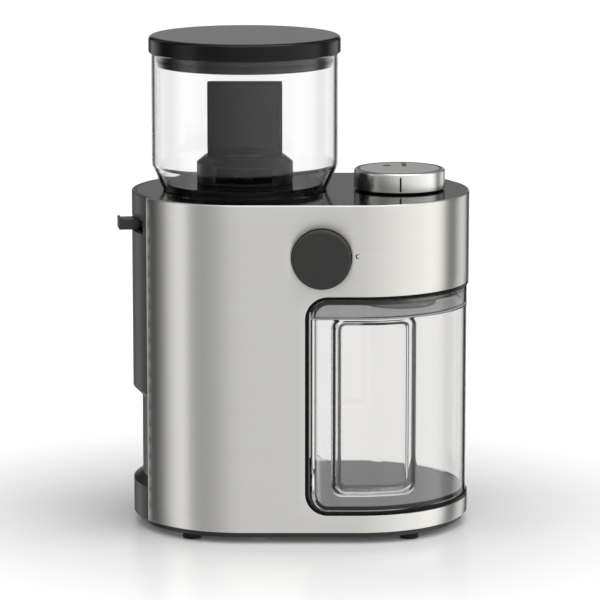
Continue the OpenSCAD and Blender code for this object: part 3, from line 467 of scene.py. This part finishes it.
def layered(name, first, second, pitch, roughness, metallic):
    """A stack of thin layers: bands of two tones along Z, one pair to each pitch."""
    made, tree, place = begin(name)
    bands = add_node(tree, "ShaderNodeTexWave", {"Vector": place, "Scale": 0.31 / pitch, "Distortion": 0.3},
                     bands_direction="Z").outputs["Fac"]
    return end(made, tree, patterned(tree, (bands, first, second), roughness, (bands, 0.1 * MM, 0.5),
                                     {"Metallic": metallic}))


def wear(made, material):
    """Gives every slot of an object a material, or its first one."""
    if made.material_slots:
        for s in made.material_slots:
            s.material = material
    else:
        made.data.materials.append(material)


FINISHES = {}


def finish(name):
    """The named finish, made once."""
    if name not in FINISHES:
        kind, *settings = finishes(bpy.context.scene.grinder_sizes, bpy.context.scene.grinder_colours)[name]
        FINISHES[name] = kind(name, *settings)
    return FINISHES[name]


def finishes(s, c):
    """How each finish is made. A moulded one gives its colour, roughness, grain, height of the grain, specular level
    and change of colour; a machined one its colour, roughness, width of a line and stretch of the lines; a clear one
    its tint, IOR and roughness; a layered one its two colours, pitch, roughness and metal."""
    return {
        # belt-ground stainless sheet: long level hairlines, highlights stretched upwards
        "brushed_stainless": (brushed, c.steel, s.brush_line),
        # turned and satin-plated zinc: bright, with fine rings on the faces
        "turned_dial": (turned, c.dial_steel, DIAL, 0.25 * MM, 0.24),
        # polished ABS: deep black with sharp reflections and a hint of moulding ripple
        "polished_abs": (moulded, c.gloss_black, 0.1, 3 * MM, 0.01 * MM, 0.12),
        # polished ABS of the lid, softer from handling: a wide grey sheen on the flat top
        "lid_abs": (moulded, c.gloss_black, 0.2, 2 * MM, 0.01 * MM, 0.2),
        # spark-eroded ABS: even, dull black with a fine tooth
        "eroded_abs": (moulded, c.satin_black, 0.36, s.grain, 0.02 * MM, 0.45),
        # soft-touch lacquer: warm dark grey, almost no gloss
        "soft_touch": (moulded, c.button, 0.5, s.grain, 0.01 * MM, 0.25),
        # glass-filled nylon of the gate: dark grey, silky
        "gate_nylon": (moulded, c.handle, 0.3, 1.2 * MM, 0.006 * MM, 0.17),
        # grey ABS of the chassis: satin, so it takes a soft reflection of the container
        "chassis_abs": (moulded, c.chassis, 0.3, s.grain, 0.01 * MM),
        # black gloss trim: a thin wet-looking line
        "trim_abs": (moulded, "060606", 0.25, 1 * MM, 0.008 * MM, 0.1),
        # styrene-acrylonitrile of the hopper: water clear, dark where its edges bend the light
        "clear_san": (clear, (0.965, 0.962, 0.96), 1.36, 0.0),
        # the container, the same plastic with the faint grey of a thicker wall
        "container_san": (clear, (0.89, 0.885, 0.88), 1.45, 0.0),
        # smoked styrene of the container's lid
        "smoked_san": (clear, (0.32, 0.315, 0.31), 1.5, 0.03),
        # moulded rubber: matt black, slightly dusty
        "foot_rubber": (moulded, "0c0c0c", 0.7, 0.6 * MM, 0.03 * MM, 0.2),
        # grey silicone: matt, a little lighter than the lid it seals
        "seal_silicone": (moulded, "8b8c8e", 0.6, 0.5 * MM, 0.01 * MM),
        # red shaft seal rubber
        "seal_nitrile": (moulded, "7b2a20", 0.6, 0.5 * MM, 0.02 * MM),
        # zinc-plated screws: bluish, fairly bright
        "zinc_plate": (machined, "a9adb2", 0.32, 0.3 * MM),
        # ground shaft steel: bright with fine rings
        "ground_steel": (machined, "c3c5c8", 0.22, 0.2 * MM, (1, 1, 30)),
        # hardened burr steel: duller, cross-ground
        "burr_steel": (machined, "9a9c9f", 0.35, 0.3 * MM, (10, 1, 1)),
        # phosphated motor can: dark grey, dull
        "phosphated_steel": (machined, "6f7275", 0.5, 0.6 * MM, (1, 1, 4)),
        # phenolic: brown-black, hard, slightly mottled
        "phenolic": (moulded, "3b2f28", 0.45, 0.8 * MM, 0.02 * MM, 0.5, 0.25),
        # stacked laminations: fine dark and light bands
        "laminations": (layered, "3c332c", "6d6258", 0.5 * MM, 0.5, 0.6),
        # varnished windings: copper-red strands under lacquer
        "windings": (layered, "7c2f14", "b4562c", 0.6 * MM, 0.3, 0.5),
        # bare copper of the commutator
        "bare_copper": (machined, "b8703e", 0.3, 0.2 * MM, (1, 1, 20)),
        # sintered bronze bushes: granular and oily
        "sintered_bronze": (moulded, "a8823f", 0.45, 0.25 * MM, 0.03 * MM, 0.5, 0.2),
        # cut brass pinion
        "cut_brass": (machined, "cba653", 0.28, 0.2 * MM, (1, 1, 20)),
        # natural nylon gears: milky, waxy
        "natural_nylon": (moulded, "ebe7da", 0.4, 0.8 * MM, 0.01 * MM, 0.5, 0.05),
        # acetal of the carrier and impeller: cream, smooth
        "acetal": (moulded, "d8d4c8", 0.35, 0.8 * MM, 0.01 * MM, 0.5, 0.06),
        # glass-filled gearbox nylon: mid grey, dry
        "filled_nylon": (moulded, "45484b", 0.5, 0.5 * MM, 0.03 * MM, 0.5, 0.2),
        # glass-filled nylon of the burr chamber: darker
        "chamber_nylon": (moulded, "2f3133", 0.45, 0.5 * MM, 0.03 * MM, 0.5, 0.2),
        # lacquered circuit board
        "circuit_board": (moulded, "1d5b3a", 0.3, 1.5 * MM, 0.02 * MM, 0.5, 0.3),
        # blue switch moulding
        "switch_nylon": (moulded, "1f3f66", 0.4, 0.5 * MM, 0.01 * MM),
    }


# finishes of the CAD nodes that show as they are, each with the nodes that have it
CAD_FINISH = {
    "eroded_abs": "base_plate",
    "zinc_plate": "base_screws burr_nut burr_screws cover_screws",
    "polished_abs": "top_panel",
    "chassis_abs": "chassis",
    "filled_nylon": "chassis_posts gearbox_housing gearbox_cover gearbox_posts button_guide",
    "foot_rubber": "cord_gland motor_mount lid_seal",
    "phosphated_steel": "motor_can",
    "phenolic": "motor_endcap",
    "windings": "motor_stator",
    "sintered_bronze": "motor_bearings shaft_bearings",
    "ground_steel": "motor_shaft idler_pin burr_shaft button_spring",
    "laminations": "armature",
    "bare_copper": "commutator",
    "natural_nylon": "cooling_fan idler_gear output_gear",
    "cut_brass": "motor_pinion",
    "seal_nitrile": "shaft_seal",
    "chamber_nylon": "burr_housing adjusting_ring burr_cover grounds_chute outlet_spout",
    "acetal": "impeller burr_carrier",
    "burr_steel": "lower_burr upper_burr",
    "gate_nylon": "gate_disc",
    "seal_silicone": "container_seal",
    "switch_nylon": "start_switch",
    "circuit_board": "timer_unit",
}


# ---------------------------------------------------------------- pieces


def radius(node):
    """Half the width of a round node."""
    low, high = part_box(node)
    return (high.x - low.x) / 2


def window_corners(x, low, high, r, right):
    """Corners of an outline that runs round the window's left side and both its level edges."""
    return [(right, low, 0), (x, low, r), (x, high, r), (right, high, 0)]


def make_shell(s):
    """The sheet on the body's wall: an outline with the window left out of its right half, and the button's hole."""
    x, low, high = TRIM_LOW.x - BODY_X, TRIM_LOW.z, TRIM_HIGH.z
    left, right = SEAM_LEFT + SEAM_GAP, SEAM_RIGHT - SEAM_GAP
    bottom, top = SHELL_LOW.z, SHELL_HIGH.z
    corners = [(left, bottom, 0), (right, bottom, 0), *window_corners(x, low, high, s.window_corner, right),
               (right, top, 0), (left, top, 0)]
    outline = divided(rounded(corners, 12), 3 * MM)
    hole = circle(BUTTON.x - BODY_X, BUTTON.z, radius("start_button") + 0.3 * MM, 96, -1)
    edge = np.where(outline[:, 1] > top - 1e-6, s.sheet_rim, s.sheet_edge)
    surface = plate([outline, hole], [edge, np.full(len(hole), s.sheet_edge)], s.sheet, wall_point,
                    (3 * MM, 9 * MM))
    piece("steel_shell_sheet", "body", surface, "brushed_stainless", ("steel_shell",),
          across=around_wall)


def around_wall(points):
    """UV of points on the body's wall, in metres: U is the height and V the way round the oval."""
    x, y = points[:, 0] - BODY_X, points[:, 1] - BODY_Y
    over = np.maximum(np.abs(x) - END_X, 0)
    angle = np.arctan2(over, -y)
    round_way = np.where(over > 0, END_X + END_R * angle, np.where(y < 0, np.abs(x), ROUND / 2 - np.abs(x)))
    return np.stack([points[:, 2], np.sign(x) * round_way], 1)


def make_trim(s):
    """The trim on the body's wall: a strip between the window's outline and the same outline moved in."""
    x, low, high, r = TRIM_LOW.x - BODY_X, TRIM_LOW.z, TRIM_HIGH.z, s.window_corner
    right, width = SEAM_RIGHT - SEAM_GAP, 1.8 * MM
    inner = window_corners(x + width, low + width, high - width, r - width, right)
    corners = [(x, low, r), (right, low, 0), *inner, (right, high, 0), (x, high, r)]
    outline = divided(rounded(corners, 12), 3 * MM)
    surface = plate([outline], [np.full(len(outline), 0.45 * MM)], 2.3 * MM,
                    lambda u, v, d: wall_point(u, v, np.asarray(d) + 0.15 * MM), (3 * MM, 3 * MM))
    piece("window_trim_strip", "body", surface, "trim_abs", ("window_trim",))


def make_housing(s):
    """The rear housing, its edges rounded, and its upper rim more."""

    def on_rim(p):
        """Whether a point is on the upper rim: at the top, and on the body's outline."""
        over = max(abs(p.x - BODY_X) - END_X, 0)
        return p.z > REAR_HIGH.z - 1e-5 and END_R - math.hypot(over, p.y - BODY_Y) < 0.2 * MM

    softened("rear_housing_moulding", "rear_housing", "body", "eroded_abs", s.moulded_edge,
             (on_rim, s.housing_rim))


def make_hopper(s):
    """The hopper: a profile turned about the burr axis, with a tapered foot and rounded lips."""
    low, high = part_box("bean_hopper")
    r, wall, taper, e = radius("bean_hopper"), 2.3 * MM, 13.6 * MM, s.clear_edge
    foot = r - 6 * MM
    profile = rounded([(foot - wall, low.z, e * 0.5), (foot, low.z, e * 0.6), (r, low.z + taper, 5 * MM),
                       (r, high.z, e), (r - wall, high.z, e), (r - wall, low.z + taper + 0.4 * MM, 4 * MM)], 8)
    piece("bean_hopper_cup", "hopper", lathe(profile, BURR.x, BURR.y, 192), "clear_san", ("bean_hopper",))


def make_lid(s):
    """The lid: a turned profile with a rounded upper edge, and a plug with a groove for its seal."""
    low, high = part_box("hopper_lid")
    seal_low, seal_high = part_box("lid_seal")
    rim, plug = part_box("bean_hopper")[1].z + 0.1 * MM, seal_high.x - BURR.x
    r, e, ceiling = radius("hopper_lid"), s.moulded_edge, high.z - 2.5 * MM
    bore, side, groove = plug - 2.5 * MM, plug - 0.8 * MM, plug - 1.6 * MM
    groove_low, groove_high, nick = seal_low.z - 0.05 * MM, seal_high.z + 0.05 * MM, 0.1 * MM
    profile = rounded([(0, ceiling, 0), (bore, ceiling, e), (bore, low.z, e), (side, low.z, e),
                       (side, groove_low, nick), (groove, groove_low, 0), (groove, groove_high, 0),
                       (side, groove_high, nick), (side, rim, 0.2 * MM), (r, rim, e), (r, high.z, s.lid_edge),
                       (0, high.z, 0)], 6)
    piece("hopper_lid_moulding", "lid", lathe(profile, BURR.x, BURR.y, 192), "lid_abs", ("hopper_lid",))


def container_ring(z, inset, low, r, corner, rise, grip):
    """Outline of the container at height z, moved in by inset: along the front, round the end, along the back and down
    the left side, which the window's lower corner draws in. The front is pressed in along Y by the grip recess, whose
    edge is a smooth step of the distance to a rounded rectangle; rise is how far that rectangle is moved outwards."""
    lift = np.maximum(corner - inset - (z - low.z - inset), 0)
    left = low.x + inset + (corner - inset) - np.sqrt(np.maximum((corner - inset) ** 2 - lift**2, 0))
    reach, soft = r - inset, 1.2 * MM
    end = BODY_X + END_X
    turn = np.concatenate([np.radians(np.linspace(0, 40, 80)), np.radians(np.linspace(42, 180, 70))])
    front = np.linspace(left + soft, end, 56)[:-1]
    bend = np.linspace(0, math.pi / 2, 5)
    x = np.concatenate([front, end + reach * np.sin(turn), np.linspace(end, left + soft, 10)[1:],
                        left + soft - soft * np.sin(bend[1:]), np.full(14, left),
                        left + soft - soft * np.cos(bend[:-1])])
    y = np.concatenate([np.full(55, -reach), -reach * np.cos(turn), np.full(9, reach),
                        reach - soft + soft * np.cos(bend[1:]), np.linspace(reach - soft, soft - reach, 16)[1:-1],
                        soft - reach - soft * np.sin(bend[:-1])])
    middle_x, low_z, high_z, half, depth = grip
    grip_corner, slope, thinnest = 4.4 * MM, 3.6 * MM, 3.2 * MM
    off = np.stack([np.abs(x - middle_x) - half - rise + grip_corner,
                    np.full(len(x), abs(z - (low_z + high_z) / 2) - (high_z - low_z) / 2 - rise + grip_corner)])
    away = np.linalg.norm(np.maximum(off, 0), axis=0) + np.minimum(off.max(0), 0) - grip_corner
    step = np.clip(0.5 - away / slope, 0, 1)
    step = step * step * (3 - 2 * step) * (y < 0) * (x > left + soft)
    pressed = np.maximum(depth - inset * 0.4 - (reach + y), thinnest)
    return np.stack([x, BODY_Y + y + step * pressed, np.full(len(x), z)], 1)


def make_container(s):
    """The container: outlines stacked up the outside, over the rim and down the inside, closed by shrinking outlines in
    the floor. The lid keeps its CAD shape, with rounded edges."""
    low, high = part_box("grounds_container")
    wall, corner, e, row = 2.2 * MM, s.window_corner - 2.1 * MM, s.clear_edge, 0.7 * MM
    grip = (DIAL.x - 14.7 * MM, low.z + 11.6 * MM, high.z - wall, 18.75 * MM, 4.4 * MM)
    floor = low.z + wall
    bend = [(e * (1 - math.sin(t)), e * (1 - math.cos(t))) for t in np.linspace(0, math.pi / 2, 5)]

    def ring(z, inset, rise):
        """Outline at one height."""
        return container_ring(z, inset, low, high.x - BODY_X - END_X, corner, rise, grip)

    def flat(z, inset, rise):
        """Outlines that shrink to the middle of the floor."""
        centre = np.array([BODY_X + END_X, BODY_Y, z])
        return [centre + (ring(z, inset, rise) - centre) * k for k in (0.02, 0.25, 0.5, 0.75, 0.93)]

    rows = flat(low.z, e, 0)
    rows += [ring(low.z + b, a, 0) for a, b in bend]
    rows += [ring(z, 0, 0) for z in np.arange(low.z + 2 * e, high.z - e, row)]
    rows += [ring(high.z - a, b, 0) for a, b in bend]
    rows += [ring(high.z - b, wall - a, wall) for a, b in bend]
    rows += [ring(z, wall, wall) for z in np.arange(high.z - 2 * e, floor + 2 * e, -row)]
    rows += [ring(floor + a, wall + b, wall) for a, b in bend]
    rows += flat(floor, wall + e, wall)[::-1]
    points, faces = net(np.stack(rows, 1), True, False)
    count, n = len(rows), len(rows[0])
    lower, upper = [i * count for i in range(n)], [i * count + count - 1 for i in range(n)]
    faces = faces.tolist() + [lower[::-1], upper]
    piece("container_cup", "container", (points, faces), "container_san", ("grounds_container",),
          60)
    softened("container_lid_cover", "container_lid", "container", "smoked_san", 0.5 * MM)


def make_button():
    """The start button: a turned profile with a rounded face edge and a very flat dish in the face."""
    low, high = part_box("start_button")
    r, stem, nick = radius("start_button"), 4 * MM, 0.2 * MM
    face, root, skirt = BODY_Y - low.y, BODY_Y - high.y, END_R - 4 * MM
    hollow = skirt + 3.5 * MM
    profile = rounded([(0, root, 0), (stem, root, 0.3 * MM), (stem, hollow, nick), (r - 2 * MM, hollow, nick),
                       (r - 2 * MM, skirt, nick), (r, skirt, nick), (r, face, 1.3 * MM),
                       (r - 4 * MM, face - 0.05 * MM, 0.5 * MM), (0, face - 0.35 * MM, 0)], 6)
    piece("start_button_cap", "button", lathe_forward(profile, BUTTON.x, BUTTON.z, 128), "soft_touch",
          ("start_button",))


def make_dial():
    """The portion dial: a turned ring and cap on a black hub, and the hub's shaft."""
    low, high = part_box("dial_ring")
    r = radius("dial_ring")
    bore = r - 2.35 * MM
    ring = rounded([(bore, low.z, 0), (r, low.z, 0.3 * MM), (r, high.z, 1.2 * MM), (bore, high.z, 0.3 * MM)], 6)
    piece("dial_ring_turned", "dial", lathe(ring, DIAL.x, DIAL.y, 192), "turned_dial", ("dial_ring",))
    softened("dial_cap_plate", "dial_cap", "dial", "turned_dial", 0.25 * MM)
    softened("dial_hub_moulding", "dial_hub", "dial", "polished_abs", 0.2 * MM)


def make_dial_marks_and_gap_shade():
    """Marks of the dial, as films a few hundredths thick: a black ring over the gap between cap and ring, which is
    painted shade of that gap, a black bar and a grey dash on the cap, which lie flat, and a black line down the ring's
    side, bent round it."""
    low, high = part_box("dial_ring")
    r, proud, edge = radius("dial_ring"), 0.04 * MM, 0.01 * MM

    def flat(u, v, d):
        """Level, just above the dial's top."""
        return stacked(u, v, high.z + proud - np.asarray(d))

    def bent(u, v, d):
        """Round the ring's side: u is the way round from the front, so the angle is u / r."""
        away, turn = r + proud - np.asarray(d), np.asarray(u) / r
        return stacked(DIAL.x + away * np.sin(turn), DIAL.y - away * np.cos(turn), v)

    def film(loops, place, spacing):
        """A thin plate with almost sharp edges."""
        return plate(loops, [np.full(len(loop), edge) for loop in loops], 0.06 * MM, place, (spacing, spacing))

    def bar(x, y, w, h, place):
        """A small rounded rectangle."""
        corners = [(x + i * w, y + j * h, 0.3 * MM) for i, j in ((0, 0), (1, 0), (1, 1), (0, 1))]
        return film([divided(rounded(corners, 4), MM)], place, MM)

    # the ring over the gap between cap and ring is painted shade: a black film where the gap falls dark
    ring = [circle(DIAL.x, DIAL.y, r - 1.7 * MM, 128), circle(DIAL.x, DIAL.y, r - 2.9 * MM, 128, -1)]
    black = [film(ring, flat, 3 * MM),
             bar(DIAL.x + 1.5 * MM, DIAL.y + 6 * MM, 2.4 * MM, 13 * MM, flat),
             bar(-0.5 * MM, low.z + 0.8 * MM, MM, 7.8 * MM, bent)]
    piece("dial_marks_and_painted_gap_shade", "dial", joined(black), "trim_abs")
    piece("dial_mark_grey", "dial", bar(DIAL.x - 8.5 * MM, DIAL.y + 7 * MM, 4 * MM, 5 * MM, flat), "filled_nylon")


def make_feet():
    """Rubber feet, four in the corners and one in the middle, each a turned profile with a rounded sole."""
    low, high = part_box("rubber_feet")
    r, stand = 5 * MM, 3 * MM
    profile = rounded([(0, low.z, 0), (r, low.z, 0.6 * MM), (r, stand, 0), (r / 2, stand, 0),
                       (r / 2, high.z, 0.2 * MM), (0, high.z, 0)], 4)
    places = [(x, y) for x in (low.x + r, high.x - r) for y in (low.y + r, high.y - r)] + [(BODY_X, BODY_Y)]
    feet = [lathe(profile, x, y, 48) for x, y in places]
    piece("feet_rubber", "body", joined(feet), "foot_rubber", ("rubber_feet",))


def make_mark():
    """A small printed crescent beside the button: the gap between two circles, as a film on the steel."""
    x, z = BUTTON.x - BODY_X + 19 * MM, BUTTON.z + 1 * MM
    a = np.linspace(math.radians(60), math.radians(300), 24)
    outer = np.stack([x + 1.3 * MM * np.cos(a), z + 1.3 * MM * np.sin(a)], 1)
    inner = np.stack([x + 0.5 * MM + 1.0 * MM * np.cos(a[::-1]), z + 1.0 * MM * np.sin(a[::-1])], 1)
    loop = np.concatenate([outer, inner])
    surface = plate([loop], [np.full(len(loop), 0.005 * MM)], 0.05 * MM,
                    lambda u, v, d: wall_point(u, v, np.asarray(d) - 0.04 * MM), (MM, MM))
    piece("start_mark", "body", surface, "filled_nylon")


# ---------------------------------------------------------------- studio


# brightness of the studio round the object: degrees from the front, positive to the right, and half the brightness
STUDIO = [(-167, 0.50), (-163, 0.01), (-153, 0.02), (-145, 0.55), (-130, 0.40), (-118, 0.04), (-104, 0.05),
          (-92, 0.22), (-86, 0.38), (-80, 0.52), (-75, 0.60), (-66, 0.62), (-61, 0.50), (-56, 0.29),
          (-45, 0.25), (-30, 0.31), (-13, 0.42), (0, 0.46), (50, 0.65), (64, 0.69), (78, 0.77), (90, 0.80),
          (98, 0.62), (104, 0.29), (111, 0.13), (118, 0.12), (125, 0.34), (134, 0.55), (146, 0.45), (153, 0.01),
          (163, 0.01), (167, 0.50)]


def make_world():
    """Soft light from all round, brighter and darker by its direction, as from soft boxes and flags; the camera itself
    sees plain white."""
    world = bpy.data.worlds.new("studio")
    bpy.context.scene.world = world
    world.use_nodes = True
    tree = world.node_tree
    tree.nodes.clear()
    way = add_node(tree, "ShaderNodeTexCoord").outputs["Generated"]
    split = add_node(tree, "ShaderNodeSeparateXYZ", {0: way})
    front = add_node(tree, "ShaderNodeMath", {0: split.outputs[1], 1: -1.0}, operation="MULTIPLY")
    turn = add_node(tree, "ShaderNodeMath", {0: split.outputs[0], 1: front.outputs[0]}, operation="ARCTAN2")
    share = add_node(tree, "ShaderNodeMapRange", {"Value": turn.outputs[0], 1: -math.pi, 2: math.pi})
    ramp = add_node(tree, "ShaderNodeValToRGB", {0: share.outputs[0]})
    stops = ramp.color_ramp.elements
    while len(stops) > 1:
        stops.remove(stops[-1])
    for i, (degrees, level) in enumerate(STUDIO):
        stop = stops[0] if i == 0 else stops.new((degrees + 180) / 360)
        stop.position = (degrees + 180) / 360
        stop.color = (level, level, level, 1)
    # the upper back of the studio is dimmer, so that level black faces stay dark
    behind = add_node(tree, "ShaderNodeMapRange", {"Value": split.outputs[1], 1: 0.2, 2: 0.7})
    above = add_node(tree, "ShaderNodeMapRange", {"Value": split.outputs[2], 1: -0.02, 2: 0.12})
    both = add_node(tree, "ShaderNodeMath", {0: behind.outputs[0], 1: above.outputs[0]}, operation="MULTIPLY")
    dim = add_node(tree, "ShaderNodeMapRange", {"Value": both.outputs[0], 3: 2.0, 4: 0.75})
    soft = add_node(tree, "ShaderNodeBackground", {"Color": ramp.outputs[0], "Strength": dim.outputs[0]})
    plain = add_node(tree, "ShaderNodeBackground", {"Color": (1, 1, 1, 1), "Strength": 1.1})
    path = add_node(tree, "ShaderNodeLightPath")
    seen = add_node(tree, "ShaderNodeMixShader", {0: path.outputs["Is Camera Ray"], 1: soft.outputs[0],
                                                  2: plain.outputs[0]})
    add_node(tree, "ShaderNodeOutputWorld", {"Surface": seen.outputs[0]})


def soft_box(name, place, aim, width, height, power):
    """A wide area lamp that the camera doesn't see."""
    data = bpy.data.lights.new(name, "AREA")
    data.shape = "RECTANGLE"
    data.size, data.size_y, data.energy = width, height, power
    lamp = bpy.data.objects.new(name, data)
    lamp.location = place
    lamp.rotation_euler = (Vector(aim) - Vector(place)).to_track_quat("-Z", "Y").to_euler()
    lamp.visible_camera = False
    bpy.context.scene.collection.objects.link(lamp)


def make_stage():
    """A plain round floor, the studio's light and the camera."""
    scene = bpy.context.scene
    scene.view_settings.view_transform = "Standard"
    make_world()
    soft_box("top_box", (0.1, -0.2, 1.5), (0, 0, 0.1), 1.4, 1.0, 8)
    # a long lens, a little above the grinder and square to its front
    data = bpy.data.cameras.new("camera")
    data.lens, data.sensor_width = 215.8, 36
    data.clip_start, data.clip_end = 0.1, 20
    camera = bpy.data.objects.new("camera", data)
    target = Vector((BODY_X - 0.35 * MM, BODY_Y, 120.97 * MM))
    rise, away = math.radians(10.33), 1949.6 * MM
    camera.location = target + Vector((0, -math.cos(rise) * away, math.sin(rise) * away))
    camera.rotation_euler = (target - camera.location).to_track_quat("-Z", "Y").to_euler()
    scene.collection.objects.link(camera)
    scene.camera = camera
    # rings of a flat disc: the point at angle a on ring r is (r cos a, r sin a, 0)
    r = np.linspace(0.001, 0.7, 12)
    a = np.arange(96) * FULL / 96
    points, faces = net(stacked(np.outer(np.cos(a), r), np.outer(np.sin(a), r), 0.0), True, False, True)
    mesh = bpy.data.meshes.new("studio_floor")
    mesh.from_pydata(points.tolist(), [], faces.tolist())
    floor = bpy.data.objects.new("studio_floor", mesh)
    scene.collection.objects.link(floor)
    floor.visible_glossy = floor.visible_transmission = False
    made, tree, place = begin("pale_floor")
    cloud = add_node(tree, "ShaderNodeTexNoise", {"Vector": place, "Scale": 8.0, "Detail": 2.0})
    rough = add_node(tree, "ShaderNodeMapRange", {"Value": cloud.outputs["Fac"], 3: 0.22, 4: 0.26})
    # a glow that grows away from the grinder lets the floor fade into the white round it
    away = add_node(tree, "ShaderNodeVectorMath", {0: place}, operation="LENGTH")
    glow = add_node(tree, "ShaderNodeMapRange", {"Value": away.outputs["Value"], 1: 0.1, 2: 0.34, 3: 0.0, 4: 0.5})
    shader = add_node(tree, "ShaderNodeBsdfPrincipled", {
        "Base Color": rgba(scene.grinder_colours.floor), "Roughness": rough.outputs[0],
        "Emission Color": (1, 1, 1, 1), "Emission Strength": glow.outputs[0]})
    wear(floor, end(made, tree, shader))


# ---------------------------------------------------------------- add-on


class GRINDER_OT_shell(bpy.types.Operator):
    """Steel sheet round the body, with the window, the button's hole and the small mark"""

    bl_idname = "grinder.shell"
    bl_label = "Steel shell"

    def execute(self, context):
        make_shell(context.scene.grinder_sizes)
        make_mark()
        return {"FINISHED"}


class GRINDER_OT_trim(bpy.types.Operator):
    """Black trim strip round the window"""

    bl_idname = "grinder.trim"
    bl_label = "Window trim"

    def execute(self, context):
        make_trim(context.scene.grinder_sizes)
        return {"FINISHED"}


class GRINDER_OT_housing(bpy.types.Operator):
    """Rear housing with its finger recess, slot and vents, and the feet"""

    bl_idname = "grinder.housing"
    bl_label = "Rear housing"

    def execute(self, context):
        make_housing(context.scene.grinder_sizes)
        make_feet()
        return {"FINISHED"}


class GRINDER_OT_hopper(bpy.types.Operator):
    """Clear bean hopper, its black floor and its lid"""

    bl_idname = "grinder.hopper"
    bl_label = "Hopper and lid"

    def execute(self, context):
        make_hopper(context.scene.grinder_sizes)
        softened("hopper_floor_moulding", "hopper_base", "hopper", "polished_abs", 0.5 * MM)
        make_lid(context.scene.grinder_sizes)
        return {"FINISHED"}


class GRINDER_OT_gate(bpy.types.Operator):
    """Cap and upright handle of the bean gate"""

    bl_idname = "grinder.gate"
    bl_label = "Bean gate"

    def execute(self, context):
        softened("gate_cap_moulding", "gate_cap", "gate", "gate_nylon", 0.8 * MM)
        softened("gate_handle_moulding", "gate_handle", "gate", "gate_nylon", 0.6 * MM)
        return {"FINISHED"}


class GRINDER_OT_container(bpy.types.Operator):
    """Clear container with its grip recess, and its lid"""

    bl_idname = "grinder.container"
    bl_label = "Grounds container"

    def execute(self, context):
        make_container(context.scene.grinder_sizes)
        return {"FINISHED"}


class GRINDER_OT_controls(bpy.types.Operator):
    """Start button, portion dial and grind lever"""

    bl_idname = "grinder.controls"
    bl_label = "Controls"

    def execute(self, context):
        make_button()
        make_dial()
        make_dial_marks_and_gap_shade()
        softened("lever_block", "lever_knob", "lever", "eroded_abs", 0.7 * MM)
        return {"FINISHED"}


class GRINDER_OT_cad_finishes(bpy.types.Operator):
    """Finishes of the CAD nodes that stay as they are"""

    bl_idname = "grinder.cad_finishes"
    bl_label = "Inner finishes"

    def execute(self, context):
        for name, nodes in CAD_FINISH.items():
            for node in nodes.split():
                wear(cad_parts[node], finish(name))
        return {"FINISHED"}


class GRINDER_OT_stage(bpy.types.Operator):
    """Floor, studio light and camera"""

    bl_idname = "grinder.stage"
    bl_label = "Studio"

    def execute(self, context):
        make_stage()
        return {"FINISHED"}


PIECES = (GRINDER_OT_stage, GRINDER_OT_shell, GRINDER_OT_trim, GRINDER_OT_housing, GRINDER_OT_hopper, GRINDER_OT_gate,
          GRINDER_OT_container, GRINDER_OT_controls, GRINDER_OT_cad_finishes)


class GRINDER_PT_panel(bpy.types.Panel):
    """Sizes, colours and the pieces, in the order they are made"""

    bl_idname = "GRINDER_PT_panel"
    bl_label = "Burr coffee grinder"
    bl_space_type = "VIEW_3D"
    bl_region_type = "UI"
    bl_category = "Grinder"

    def draw(self, context):
        for group in (context.scene.grinder_sizes, context.scene.grinder_colours):
            box = self.layout.box()
            for name in group.__annotations__:
                box.prop(group, name)
        for kind in PIECES:
            self.layout.operator(kind.bl_idname)


CLASSES = (GrinderSizes, GrinderColours, *PIECES, GRINDER_PT_panel)


def register():
    """Registers the classes and hangs the two groups of properties on the scene."""
    for kind in CLASSES:
        bpy.utils.register_class(kind)
    bpy.types.Scene.grinder_sizes = bpy.props.PointerProperty(type=GrinderSizes)
    bpy.types.Scene.grinder_colours = bpy.props.PointerProperty(type=GrinderColours)


def unregister():
    """Takes the properties and the classes away again."""
    del bpy.types.Scene.grinder_colours
    del bpy.types.Scene.grinder_sizes
    for kind in reversed(CLASSES):
        bpy.utils.unregister_class(kind)


def main():
    """Makes every piece in order."""
    register()
    for kind in PIECES:
        getattr(bpy.ops.grinder, kind.bl_idname.split(".")[1])()


if __name__ == "__main__":
    main()
